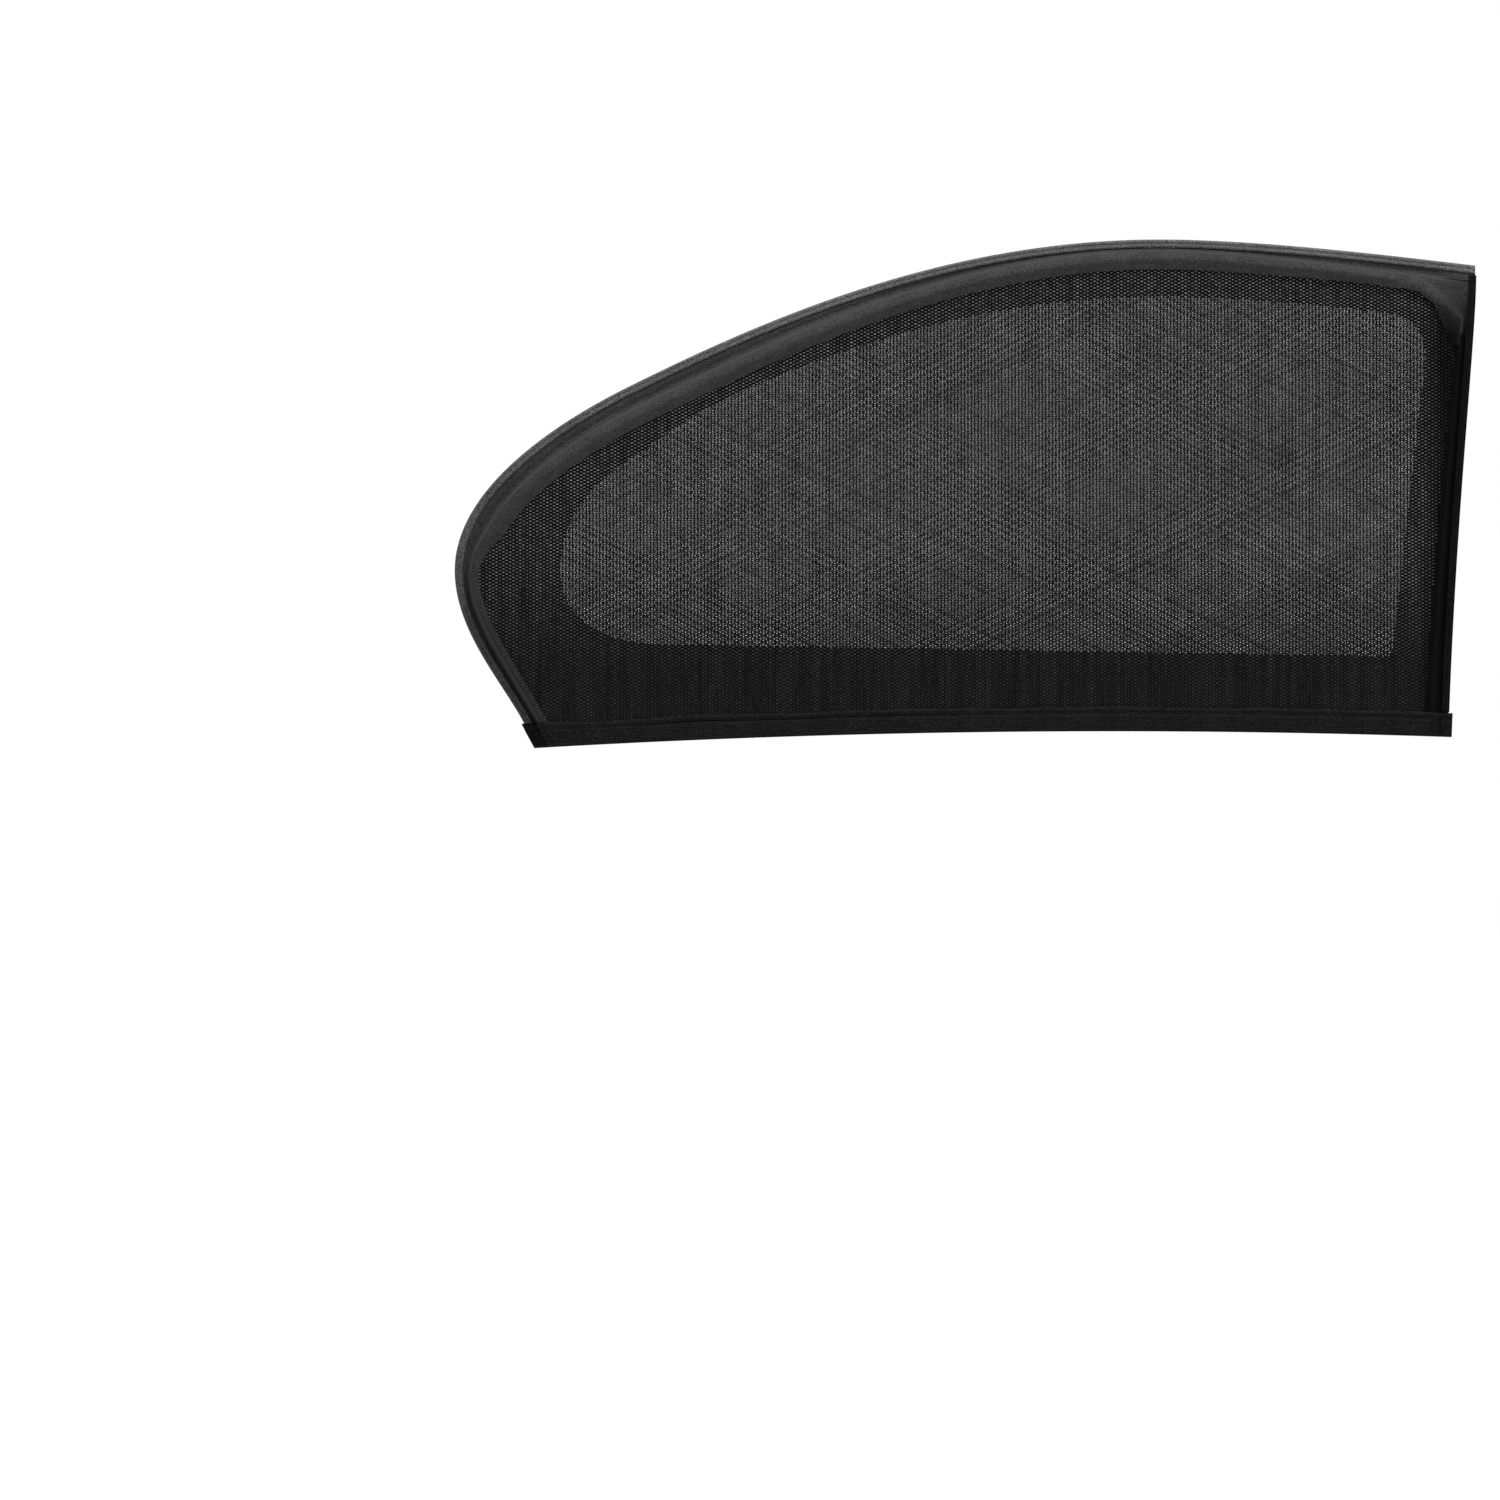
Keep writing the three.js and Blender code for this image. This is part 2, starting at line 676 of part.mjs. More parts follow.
// Net of the cabin wall, lapped under the roof border and over the front border
function cabinNet() {
  const underRoof = roofStops.map((u) => roofPoint(u, roofBorderWidth(u) - netLap));
  const first = underRoof[0];
  const bottom = steps(frontHemX, first.x, hemFlatSteps).map(
    (x) => new THREE.Vector2(x, hemLine(x) + rawEdgeHeight),
  );
  const overFront = steps(0, 1, 2 * frontSteps).map((v) =>
    frontEdge.getPoint(v).add(new THREE.Vector2(frontNetLap - frontBorder(v), 0)),
  );
  const beyond = 40;
  const leftSide = [
    new THREE.Vector2(overFront.at(-1).x, -beyond),
    new THREE.Vector2(noseX, -beyond),
    new THREE.Vector2(noseX, crownZ + beyond),
    new THREE.Vector2(overFront[0].x, crownZ + beyond),
  ];
  const outlines = [
    [...underRoof, ...bottom.slice(0, -1)],
    [...overFront, ...leftSide],
  ];
  return netPanel(outlines, openCells(), true);
}

// Hem of the outer wall: one strip folded over the raw edge
function outerHem() {
  const rearX = (height) => roof.getPointAt(rearStation(height)).x - hemOverhang;
  const frontX = (height) => frontEdge.getPoint(frontStation(height)).x + hemOverhang;
  const near = -seamGap;
  const far = cloth + seamGap;
  const outside = [
    [hemHeight, near - cloth],
    [0, near - cloth],
    [0, far + cloth],
    [hemInnerLeg, far + cloth],
  ];
  const within = [
    [hemHeight, near],
    [cloth, near],
    [cloth, far],
    [hemInnerLeg, far],
  ];
  const section = [...outside, ...within.reverse()];
  const rings = steps(0, 1, hemFlatSteps).map((s) =>
    section.map(([height, depth]) => {
      const x = lerp(rearX(height), frontX(height), s);
      return place(x, hemLine(x) + height, depth);
    }),
  );
  return loft(rings);
}

// Elastic inside the outer hem
function outerElastic() {
  const bottom = cloth + elasticGap;
  const near = (cloth - elasticThickness) / 2;
  const far = (cloth + elasticThickness) / 2;
  const section = [
    [bottom, near],
    [bottom + elasticHeight, near],
    [bottom + elasticHeight, far],
    [bottom, far],
  ];
  const rings = steps(rearHemX, frontHemX - 2 * cloth, hemFlatSteps).map((x) =>
    section.map(([height, depth]) => place(x, hemLine(x) + height, depth)),
  );
  return loft(rings);
}

// Finishes
const finish = (color, roughness) => new THREE.MeshStandardMaterial({ color, roughness, metalness: 0 });
const materials = {
  net: finish(0x2b2b2c, 0.9),
  knit: finish(0x232324, 0.95),
  tape: finish(0x303031, 0.92),
  hem: finish(0x1b1b1c, 0.95),
  elastic: finish(0x141414, 0.8),
};

// The finished sleeve
const sleeve = new THREE.Group();
function addPiece(name, geometry, material) {
  const mesh = new THREE.Mesh(geometry, material.clone());
  mesh.name = name;
  sleeve.add(mesh);
}
addPiece("cabin_net", cabinNet(), materials.net);
addPiece("cabin_roof_border", cabinRoofBorder(), materials.knit);
addPiece("cabin_front_border", cabinFrontBorder(), materials.knit);
addPiece("cabin_hem", cabinHem(), materials.hem);
addPiece("cabin_hem_elastic", cabinElastic(), materials.elastic);
addPiece("outer_border", outerBorder(), materials.knit);
addPiece("outer_net", outerNet(), materials.net);
addPiece("outer_hem", outerHem(), materials.hem);
addPiece("outer_hem_elastic", outerElastic(), materials.elastic);
addPiece("roof_binding", roofBinding(), materials.tape);
addPiece("front_binding", frontBinding(), materials.tape);

export default sleeve;
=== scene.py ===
"""A stretch-mesh sunshade sleeve for a car's rear side window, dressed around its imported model.

Metres. X runs towards the front of the car, Z up, and the cabin is on the -Y side.
"""
import math
import bpy
import numpy as np
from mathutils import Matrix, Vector

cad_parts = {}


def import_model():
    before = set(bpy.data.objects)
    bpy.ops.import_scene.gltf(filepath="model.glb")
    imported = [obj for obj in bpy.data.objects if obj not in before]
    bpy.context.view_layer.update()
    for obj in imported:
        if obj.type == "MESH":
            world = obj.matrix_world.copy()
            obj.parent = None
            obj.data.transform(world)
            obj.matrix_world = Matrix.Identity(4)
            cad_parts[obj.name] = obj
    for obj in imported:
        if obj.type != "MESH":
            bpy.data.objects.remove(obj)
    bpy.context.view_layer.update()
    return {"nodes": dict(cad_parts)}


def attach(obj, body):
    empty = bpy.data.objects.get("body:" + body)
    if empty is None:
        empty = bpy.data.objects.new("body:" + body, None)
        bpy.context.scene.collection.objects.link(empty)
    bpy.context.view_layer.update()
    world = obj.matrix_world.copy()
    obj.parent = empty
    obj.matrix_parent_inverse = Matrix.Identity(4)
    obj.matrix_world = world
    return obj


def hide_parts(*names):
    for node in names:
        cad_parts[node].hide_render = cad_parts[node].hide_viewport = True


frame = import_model()

# Outline of the stretched sleeve, seen from the cabin
REAR_HEM_X = -0.429
FRONT_HEM_X = 0.485
NOSE = (-0.512, 0.178)
SHOULDER = (-0.338, 0.362)
SHOULDER_SLOPE = 26.4
CROWN = (0.194, 0.5096)
FRONT_CORNER = (0.512, 0.4834)
FRONT_CORNER_SLOPE = 6.8
REAR_LEAN = 28.6
REAR_STRAIGHT = 0.032
HEM_FRONT_RISE = 0.011
HEM_ARCH = 0.0105

# Angles in degrees, and pulls of the outline's curves as shares of their spans
UP = 90
REARWARDS = 180
REAR_PULLS = (0.28, 0.36)
NOSE_PULLS = (0.32, 0.33)
SHOULDER_PULLS = (0.284, 0.384)
CROWN_PULLS = (0.305, 0.302)
FRONT_TOP_ANGLE = -88
FRONT_FOOT_ANGLE = -91.7
FRONT_PULLS = (0.125, 0.5)

# Depth of the pocket and lean of its outer wall
MOUTH_DEPTH = 0.060
CROWN_DEPTH = 0.034
OUTER_LEAN = 1.1

# Cloth and seams
CLOTH = 0.001
GAP = 0.0003
LIP_DEPTH = 0.0048
COVER = GAP + CLOTH / 2
TUCK = -(CLOTH + GAP + CLOTH / 2)

# Dense border on the cabin side
REAR_LIP = 0.016
SHOULDER_LIP = 0.023
CROWN_LIP = 0.0125
CORNER_LIP = 0.0175
BEAD_WIDTH = 0.019
BEAD_HEIGHT = 0.007
BEAD_NARROWING = 0.004
BEAD_NARROWING_X = 0.25
BEAD_TIP = 1.04 * NOSE[1]
BEAD_FULL = 1.5 * NOSE[1]
STEP_RUN = 0.0036
STEP_FLANGE = 0.009
CORNER_FLANGE = 0.007
NET_LAP = 0.0024
TONGUE_WIDTH = 0.067
TONGUE_HEIGHT = 0.030
FRONT_TOP = 0.022
FRONT_FOOT = 0.032
FRONT_LIP = 0.009
FRONT_LAP = 0.005
CORNER_START = FRONT_CORNER[0] - TONGUE_WIDTH
CORNER_TURN_START = FRONT_CORNER[0] - 1.5 * TONGUE_WIDTH
BEFORE_CORNER = CORNER_START - BEAD_WIDTH

# Front corner: the border runs down behind its bead to a free edge
CORNER_FREE_EDGE = [
    (0.426, 0.459),
    (0.440, 0.459),
    (0.454, 0.455),
    (0.469, 0.443),
    (0.479, 0.420),
    (0.486, 0.402),
]
CORNER_FREE_X = (0.415, 0.435)
CORNER_LEAN_X = (0.475, 0.510)
CORNER_LAP = 0.012
CORNER_BEAD_START = (0.404, 0.4705)
CORNER_BEAD_END = (0.488, 0.400)
CORNER_BEAD_ANGLES = (-3, -86)
CORNER_BEAD_PULLS = (0.5, 0.45)
CORNER_BEAD_REACH = (0.0095, 0.0065)
CORNER_BEAD_FADE = 0.3
CORNER_BEAD_END_HEIGHT = 0.001
CORNER_BEAD_ROUNDING = 0.8

# Ribs and groove along the lip: place past the lip's edge, width and height
LIP_RIBS = [(-0.0042, 0.0008, 0.0008), (-0.0021, 0.0006, 0.0006), (-0.0002, 0.0007, -0.0020)]
LIP_RIBS_REACH = (0.16, 0.24)

# Tape and hem
TAPE_LEG = 0.008
HEM_HEIGHT = 0.024
HEM_INNER = 0.017
HEM_OVERHANG = 0.003
RAW_EDGE = 0.0085
TAPE_FOOT = HEM_HEIGHT + GAP + CLOTH
TURN_END = HEM_HEIGHT + 0.7 * NOSE[1]
HEM_STITCH_HEIGHT = 0.86 * HEM_HEIGHT

# Ribs along the tape: distance from the outline and height
TAPE_RIBS = {"outer": (0.0028, 0.0004), "inner": (0.0068, 0.0003)}

# Relief of the cabin hem
HEM_TOE = 0.0006
HEM_TOE_DIP = 0.0007
HEM_BELLY = 0.0011
HEM_ROLL_AT = 0.0216
HEM_ROLL_WIDTH = 0.0014
HEM_ROLL = 0.0016
HEM_SLIT_AT = 0.0176
HEM_SLIT_WIDTH = 0.0007
HEM_SLIT = 0.0024
HEM_SLIT_SHUT = 0.35
HEM_SLIT_OPEN_X = (-0.37, -0.30, -0.06, 0.0)
HEM_RIB = 0.0004
HEM_RIB_PITCH = 0.0023

# Window of the outer wall
WINDOW_TOP_MARGIN = 0.057
WINDOW_REAR = (-0.406, 0.178)
WINDOW_SILL_Z = 0.092
WINDOW_SILL_REAR_X = -0.300
WINDOW_SILL_REAR_RISE = 0.012
WINDOW_FRONT_X = 0.428
WINDOW_FRONT_TOP = (0.461, 0.385)
WINDOW_CORNER_X = 0.400
WINDOW_LAP = 0.008
WINDOW_SEAM = 0.0035
WINDOW_CENTRE = (0.03, 0.25)
WINDOW_REAR_DROP = 0.42
WINDOW_REAR_TURN = 8
WINDOW_REAR_PULLS = (0.45, 0.3)
WINDOW_CORNER_ANGLES = (-4, -96)
WINDOW_CORNER_PULLS = (0.5, 0.5)
WINDOW_SILL_PULLS = (0.6, 0.3)
WINDOW_POINTS = 40

# Lattice of the net: columns of holes, every second column half a hole lower
NET_COLUMN = 0.00337
NET_HOLE = 0.0034
STRAND = 0.00178
STRAND_CREST = 0.00022
KNOT_WIDTH = 0.0021
KNOT_HEIGHT = 0.0009
KNOT_CREST = 0.00035
KNOT_LIFT = 0.0001
KNOT_WIDTHS = (0.8, 1.15)
KNOT_HEIGHTS = (0.75, 1.2)
KNOT_TILT = 0.12
STRAND_LAYERS = (0.0001, 0.0004)
OUTER_GAUGE = 0.4
OUTER_UNEVEN = 0.12
OUTER_NET_DEPTH = 0.0018

# Stitches: each a spindle of rings (share of the length, width, lift)
STITCH_PITCH = 0.0034
STITCH_LENGTH = 0.0024
STITCH_RADIUS = 0.00035
STITCH_SIDES = 6
STITCH_RINGS = [(-0.5, 0.35, -0.6), (-0.3, 0.9, 0.2), (0.0, 1.0, 0.5), (0.3, 0.9, 0.2), (0.5, 0.35, -0.6)]

# Camera: the photograph's frame is 1.5 m wide at the sleeve, whose middle is not the frame's
FRAME_WIDTH = 1.5
CAMERA_X = -0.2158
CAMERA_Z = -0.002
CAMERA_DISTANCE = 8.0
SENSOR = 36.0

# Floor and sky
FLOOR_REACH = 30.0
FLOOR_Z = -0.9
FLOOR_GLOW = 0.7
SKY_LEVEL = 0.36


def eased(share):
    return share * share * (3 - 2 * share)


def smoothstep(x, low, high):
    return eased(np.clip((np.asarray(x, float) - low) / (high - low), 0, 1))


def lerp(a, b, share):
    return a + (b - a) * share


def ridge(x, spot, width):
    """A rounded ridge of height 1 across a spot."""
    return np.exp(-(((x - spot) / width) ** 2))


# Curves of the outline
def along(point, angle, length):
    turn = math.radians(angle)
    return np.array([point[0] + length * math.cos(turn), point[1] + length * math.sin(turn)])


def stretch(start, start_angle, end, end_angle, pulls, count=600):
    """Points of a smooth curve that leaves and arrives at given angles."""
    start = np.array(start, float)
    end = np.array(end, float)
    span = np.linalg.norm(end - start)
    first = along(start, start_angle, span * pulls[0])
    last = along(end, end_angle, -span * pulls[1])
    t = np.linspace(0, 1, count)[:, None]
    return (1 - t) ** 3 * start + 3 * (1 - t) ** 2 * t * first + 3 * (1 - t) * t * t * last + t**3 * end


class Line:
    """A line of points that is read by its share of the length."""

    def __init__(self, points):
        keep = np.r_[True, np.linalg.norm(np.diff(points, axis=0), axis=1) > 1e-9]
        self.points = points[keep]
        steps = np.linalg.norm(np.diff(self.points, axis=0), axis=1)
        self.reach = np.r_[0, np.cumsum(steps)]
        self.length = self.reach[-1]
        self.slopes = np.gradient(self.points, self.reach, axis=0)

    def at(self, share):
        reach = np.asarray(share, float) * self.length
        return np.stack([np.interp(reach, self.reach, self.points[:, i]) for i in (0, 1)], -1)

    def slope(self, share):
        reach = np.asarray(share, float) * self.length
        slope = np.stack([np.interp(reach, self.reach, self.slopes[:, i]) for i in (0, 1)], -1)
        return slope / np.linalg.norm(slope, axis=-1, keepdims=True)

    def share_where(self, holds):
        """Share of the length up to which a test on the points holds."""
        return self.reach[np.argmin(holds)] / self.length


rear_foot = along((REAR_HEM_X, 0), UP + REAR_LEAN, REAR_STRAIGHT)
roof = Line(
    np.vstack(
        [
            np.linspace((REAR_HEM_X, 0), rear_foot, 80),
            stretch(rear_foot, UP + REAR_LEAN, NOSE, UP, REAR_PULLS),
            stretch(NOSE, UP, SHOULDER, SHOULDER_SLOPE, NOSE_PULLS),
            stretch(SHOULDER, SHOULDER_SLOPE, CROWN, 0, SHOULDER_PULLS),
            stretch(CROWN, 0, FRONT_CORNER, -FRONT_CORNER_SLOPE, CROWN_PULLS),
        ]
    )
)
front_foot = (FRONT_HEM_X, HEM_FRONT_RISE)
front_edge = Line(stretch(FRONT_CORNER, FRONT_TOP_ANGLE, front_foot, FRONT_FOOT_ANGLE, FRONT_PULLS))


def front_edge_x(z):
    return np.interp(z, front_edge.points[::-1, 1], front_edge.points[::-1, 0])


def hem_line(x):
    s = (x - REAR_HEM_X) / (FRONT_HEM_X - REAR_HEM_X)
    return HEM_FRONT_RISE * s + 4 * HEM_ARCH * s * (1 - s)


def outer_y(z):
    return MOUTH_DEPTH / 2 - z * math.tan(math.radians(OUTER_LEAN))


def depth_at(z):
    return lerp(MOUTH_DEPTH, CROWN_DEPTH, z / CROWN[1])


def place(x, z, depth):
    return np.stack(np.broadcast_arrays(x, outer_y(z) - depth, z), -1)


def cloth_depth(z, rise, layer):
    return lerp(LIP_DEPTH, depth_at(z) + layer, rise)


def rear_station(height):
    p = roof.points
    return roof.share_where((p[:, 1] - hem_line(p[:, 0]) < height) & (p[:, 1] < NOSE[1]))


def front_station(height):
    p = front_edge.points
    return front_edge.share_where(p[:, 1] - hem_line(p[:, 0]) > height)


def station_at(x):
    """Share of the roof line at a place along the roof, past the rear edge."""
    p = roof.points
    return roof.share_where((p[:, 0] < x) | (roof.reach < 0.9 * NOSE[1]))


def inward(s):
    """Direction from the roof line into the panel: level at the hem, square to it above."""
    slope = roof.slope(s)
    square = np.stack([slope[..., 1], -slope[..., 0]], -1)
    from_hem = smoothstep(s * roof.length, HEM_HEIGHT, TURN_END)[..., None]
    to_corner = smoothstep(roof.at(s)[..., 0], CORNER_TURN_START, FRONT_CORNER[0])[..., None]
    turned = lerp(np.array([1.0, 0.0]), square, from_hem)
    turned = lerp(turned, np.array([0.0, -1.0]), to_corner)
    return turned / np.linalg.norm(turned, axis=-1, keepdims=True)


def roof_point(s, t):
    """Place at a distance inwards from the roof line, level with the hem near its foot."""
    outline = roof.at(s)
    p = outline + inward(s) * np.asarray(t)[..., None]
    near_foot = 1 - smoothstep(s * roof.length, REAR_STRAIGHT, REAR_STRAIGHT + HEM_HEIGHT)
    lift = (hem_line(p[..., 0]) - hem_line(outline[..., 0])) * near_foot
    return p[..., 0], p[..., 1] + lift


def bead_share(s):
    return smoothstep(s * roof.length, BEAD_TIP, BEAD_FULL)


def corner_share(x):
    return smoothstep(x, BEFORE_CORNER, CORNER_START)


def lip_width(s):
    x = roof.at(s)[..., 0]
    beaded = lerp(SHOULDER_LIP, CROWN_LIP, smoothstep(x, SHOULDER[0], CROWN[0]))
    beaded = lerp(beaded, CORNER_LIP, smoothstep(x, CROWN[0], CORNER_START))
    return lerp(REAR_LIP, beaded, bead_share(s))


def roof_border_width(s):
    """Width of the dense border, which runs down behind the bead at the front corner."""
    x, z = roof.at(s)[..., 0], roof.at(s)[..., 1]
    corner_x, corner_z = np.array(CORNER_FREE_EDGE).T
    bead = BEAD_WIDTH - BEAD_NARROWING * smoothstep(x, BEAD_NARROWING_X, corner_x[0])
    width = lip_width(s) + lerp(STEP_FLANGE, bead, bead_share(s))
    to_free_edge = z - np.interp(x, corner_x, corner_z)
    return np.where(bead_share(s) < 1, width, lerp(width, to_free_edge, smoothstep(x, *CORNER_FREE_X)))


def tongue_share(z):
    """How far a height lies inside the tongue at the top of the front border."""
    drop = FRONT_CORNER[1] - z - CORNER_LIP - CORNER_FLANGE
    return 1 - np.clip(drop / TONGUE_HEIGHT, 0, 1)


def front_rise(t, width):
    """Share of the climb from the front lip to the cabin wall."""
    return eased(np.clip((t - FRONT_LIP) / (width - FRONT_LAP - FRONT_LIP), 0, 1))


def corner_rise(x, z):
    """Share of the climb from the front lip to the cabin wall, inside the front corner."""
    return front_rise(front_edge_x(z) - x, lerp(FRONT_TOP, TONGUE_WIDTH, tongue_share(z)))


def front_border(v):
    """Width of the front border at a share of the front edge."""
    plain = lerp(FRONT_TOP, FRONT_FOOT, np.asarray(v, float))
    return lerp(plain, TONGUE_WIDTH, tongue_share(front_edge.at(v)[..., 1]))


def spline(keys, shares):
    """A smooth curve through each row's keys (rows, keys, 2), read at even shares of the keys."""
    last = keys.shape[1] - 1
    spot = np.asarray(shares) * last
    i = np.minimum(spot.astype(int), last - 1)
    w = (spot - i)[None, :, None]
    p0 = keys[:, np.maximum(i - 1, 0)]
    p1 = keys[:, i]
    p2 = keys[:, i + 1]
    p3 = keys[:, np.minimum(i + 2, last)]
    v0 = (p2 - p0) / 2
    v1 = (p3 - p1) / 2
    return (2 * p1 - 2 * p2 + v0 + v1) * w**3 + (-3 * p1 + 3 * p2 - 2 * v0 - v1) * w**2 + v0 * w + p1


def roof_section(s, shares):
    """Distance inwards and depth of the roof border's middle, for each station and share."""
    lip = lip_width(s)
    width = roof_border_width(s)
    bulge = BEAD_HEIGHT * bead_share(s) * (1 - corner_share(roof.at(s)[..., 0]))
    step_end = lip + STEP_RUN
    zero = np.zeros_like(s)
    # Each key has a distance inwards, a share of the climb to the cabin wall and a height above it
    keys = [
        (zero + CLOTH + GAP, 0, zero),
        (lip * 0.55, 0, zero),
        (lip - 0.003, 0, zero),
        (lip + 0.0003, 0.42, zero),
        (lip + 0.002, 0.93, bulge * 0.25),
        (step_end, 1, bulge * 0.6),
        (lerp(step_end, width, 0.35), 1, bulge),
        (lerp(step_end, width, 0.72), 1, bulge * 0.5),
        (width, 1, zero),
    ]
    rows = []
    for t, rise, proud in keys:
        x, z = roof_point(s, t)
        climb = np.where(x > BEFORE_CORNER, corner_rise(x, z), 1.0)
        rows.append(np.stack([t, cloth_depth(z, rise * climb, COVER) + proud], -1))
    curve = spline(np.stack(rows, 1), shares)
    return curve[..., 0], curve[..., 1]


corner_bead_line = stretch(
    CORNER_BEAD_START, CORNER_BEAD_ANGLES[0], CORNER_BEAD_END, CORNER_BEAD_ANGLES[1], CORNER_BEAD_PULLS, 90
)


def corner_bead(x, z):
    """Height of the bead where it turns down inside the front corner."""
    spots = np.stack([x.ravel(), z.ravel()], -1)
    gaps = np.linalg.norm(spots[:, None] - corner_bead_line[None], axis=-1)
    share = gaps.argmin(axis=1) / (len(corner_bead_line) - 1)
    reach = lerp(*CORNER_BEAD_REACH, share)
    height = lerp(BEAD_HEIGHT, CORNER_BEAD_END_HEIGHT, smoothstep(share, CORNER_BEAD_FADE, 1))
    height = height * corner_share(spots[:, 0])
    bump = np.clip(1 - (gaps.min(axis=1) / reach) ** 2, 0, 1) ** CORNER_BEAD_ROUNDING
    return (bump * height).reshape(x.shape)


# Mesh building
def new_object(name, verts, faces, materials, face_materials=None, smooth=True):
    mesh = bpy.data.meshes.new(name)
    mesh.from_pydata([tuple(v) for v in verts], [], [tuple(f) for f in faces])
    mesh.validate()
    for material in materials:
        mesh.materials.append(material)
    if face_materials is not None:
        mesh.polygons.foreach_set("material_index", np.asarray(face_materials, np.int32))
    mesh.polygons.foreach_set("use_smooth", np.full(len(mesh.polygons), smooth))
    mesh.update()
    piece = bpy.data.objects.new(name, mesh)
    bpy.context.scene.collection.objects.link(piece)
    return piece


def grid_faces(rows, columns, closed=False):
    last = columns if closed else columns - 1
    row, column = np.meshgrid(np.arange(rows - 1), np.arange(last), indexing="ij")
    a = row * columns + column
    b = row * columns + (column + 1) % columns
    return np.stack([a, b, b + columns, a + columns], -1).reshape(-1, 4)


def cloth_grid(name, points, material, thickness=CLOTH, closed=False):
    """A cloth of even thickness about a grid of points (rows, columns, 3)."""
    rows, columns = points.shape[:2]
    piece = new_object(name, points.reshape(-1, 3), grid_faces(rows, columns, closed), [material])
    solid = piece.modifiers.new("thickness", "SOLIDIFY")
    solid.thickness = thickness
    solid.offset = 0
    return piece


def fold_noise(x, seed, wave):
    """A smooth wandering value between about -1 and 1 along x, the same for each seed."""
    rng = np.random.default_rng(seed)
    value = np.zeros_like(x)
    for _ in range(6):
        height = rng.uniform(0.4, 1)
        length = wave * rng.uniform(0.6, 1.9)
        value += height * np.sin(2 * math.pi * x / length + rng.uniform(0, 7))
    return value / 4.2 * 1.6


# Materials
def shader(name, color, roughness=0.9, specular=0.012):
    material = bpy.data.materials.new(name)
    material.use_nodes = True
    nodes = material.node_tree.nodes
    surface = nodes["Principled BSDF"]
    surface.inputs["Base Color"].default_value = (*color, 1)
    surface.inputs["Roughness"].default_value = roughness
    surface.inputs["Specular IOR Level"].default_value = specular
    return material, surface


def add(owner, kind, inputs=None, **settings):
    """Adds a node to a material's or a world's tree, with values or links for its inputs."""
    node = owner.node_tree.nodes.new(kind)
    for key, value in settings.items():
        setattr(node, key, value)
    for key, value in (inputs or {}).items():
        if isinstance(value, bpy.types.NodeSocket):
            owner.node_tree.links.new(value, node.inputs[key])
        else:
            node.inputs[key].default_value = value
    return node


def maths(owner, operation, *values):
    return add(owner, "ShaderNodeMath", dict(enumerate(values)), operation=operation).outputs[0]


def scaled_place(material, scale=(1, 1, 1)):
    coordinates = add(material, "ShaderNodeTexCoord")
    return add(material, "ShaderNodeMapping", {0: coordinates.outputs["Object"], 3: scale}).outputs[0]


def noise(material, scale, detail, stretch_by=(1, 1, 1)):
    inputs = {"Vector": scaled_place(material, stretch_by), "Scale": scale, "Detail": detail}
    return add(material, "ShaderNodeTexNoise", inputs).outputs[0]


def ribs(material, direction, scale, distortion):
    inputs = {"Vector": scaled_place(material), "Scale": scale, "Distortion": distortion}
    return add(material, "ShaderNodeTexWave", inputs, bands_direction=direction).outputs["Fac"]


MIX_FACTOR = 0
MIX_A = 6
MIX_B = 7
MIX_COLOR = 2


def blend(material, factor, low, high, spread=(0.35, 0.65)):
    """A colour between two, by a noise value read between the two ends of its spread."""
    ramp = add(material, "ShaderNodeMapRange", {0: factor, 1: spread[0], 2: spread[1]})
    inputs = {MIX_FACTOR: ramp.outputs[0], MIX_A: (*low, 1), MIX_B: (*high, 1)}
    return add(material, "ShaderNodeMix", inputs, data_type="RGBA").outputs[MIX_COLOR]


def multiplied(material, share, color, other):
    inputs = {MIX_FACTOR: share, MIX_A: color, MIX_B: other}
    node = add(material, "ShaderNodeMix", inputs, data_type="RGBA", blend_type="MULTIPLY")
    return node.outputs[MIX_COLOR]


def with_painted_shade(material, color, shade_dims):
    """Paints shade: dims a colour to a share of itself where every fade of a place has run its course."""
    for fades, share in shade_dims:
        axes = add(material, "ShaderNodeSeparateXYZ", {0: scaled_place(material)})
        run = 1.0
        for axis, start, end in fades:
            ramp = add(material, "ShaderNodeMapRange", {0: axes.outputs[axis], 1: start, 2: end})
            run = maths(material, "MULTIPLY", ramp.outputs[0], run)
        level = add(material, "ShaderNodeMapRange", {0: run, 3: 1.0, 4: share}).outputs[0]
        scale = add(material, "ShaderNodeVectorMath", {0: color, 3: level}, operation="SCALE")
        color = scale.outputs[0]
    return color


def dress(material, surface, color, height, strength, distance):
    """Links a surface's colour and relief."""
    relief = add(material, "ShaderNodeBump", {"Height": height, "Strength": strength, "Distance": distance})
    material.node_tree.links.new(color, surface.inputs["Base Color"])
    material.node_tree.links.new(relief.outputs[0], surface.inputs["Normal"])


def grey(level):
    return (level, level, level * 1.02)


# Bands of a wave texture of scale 1 are this far apart
WAVE_PITCH = 0.314
NAP = 0.25


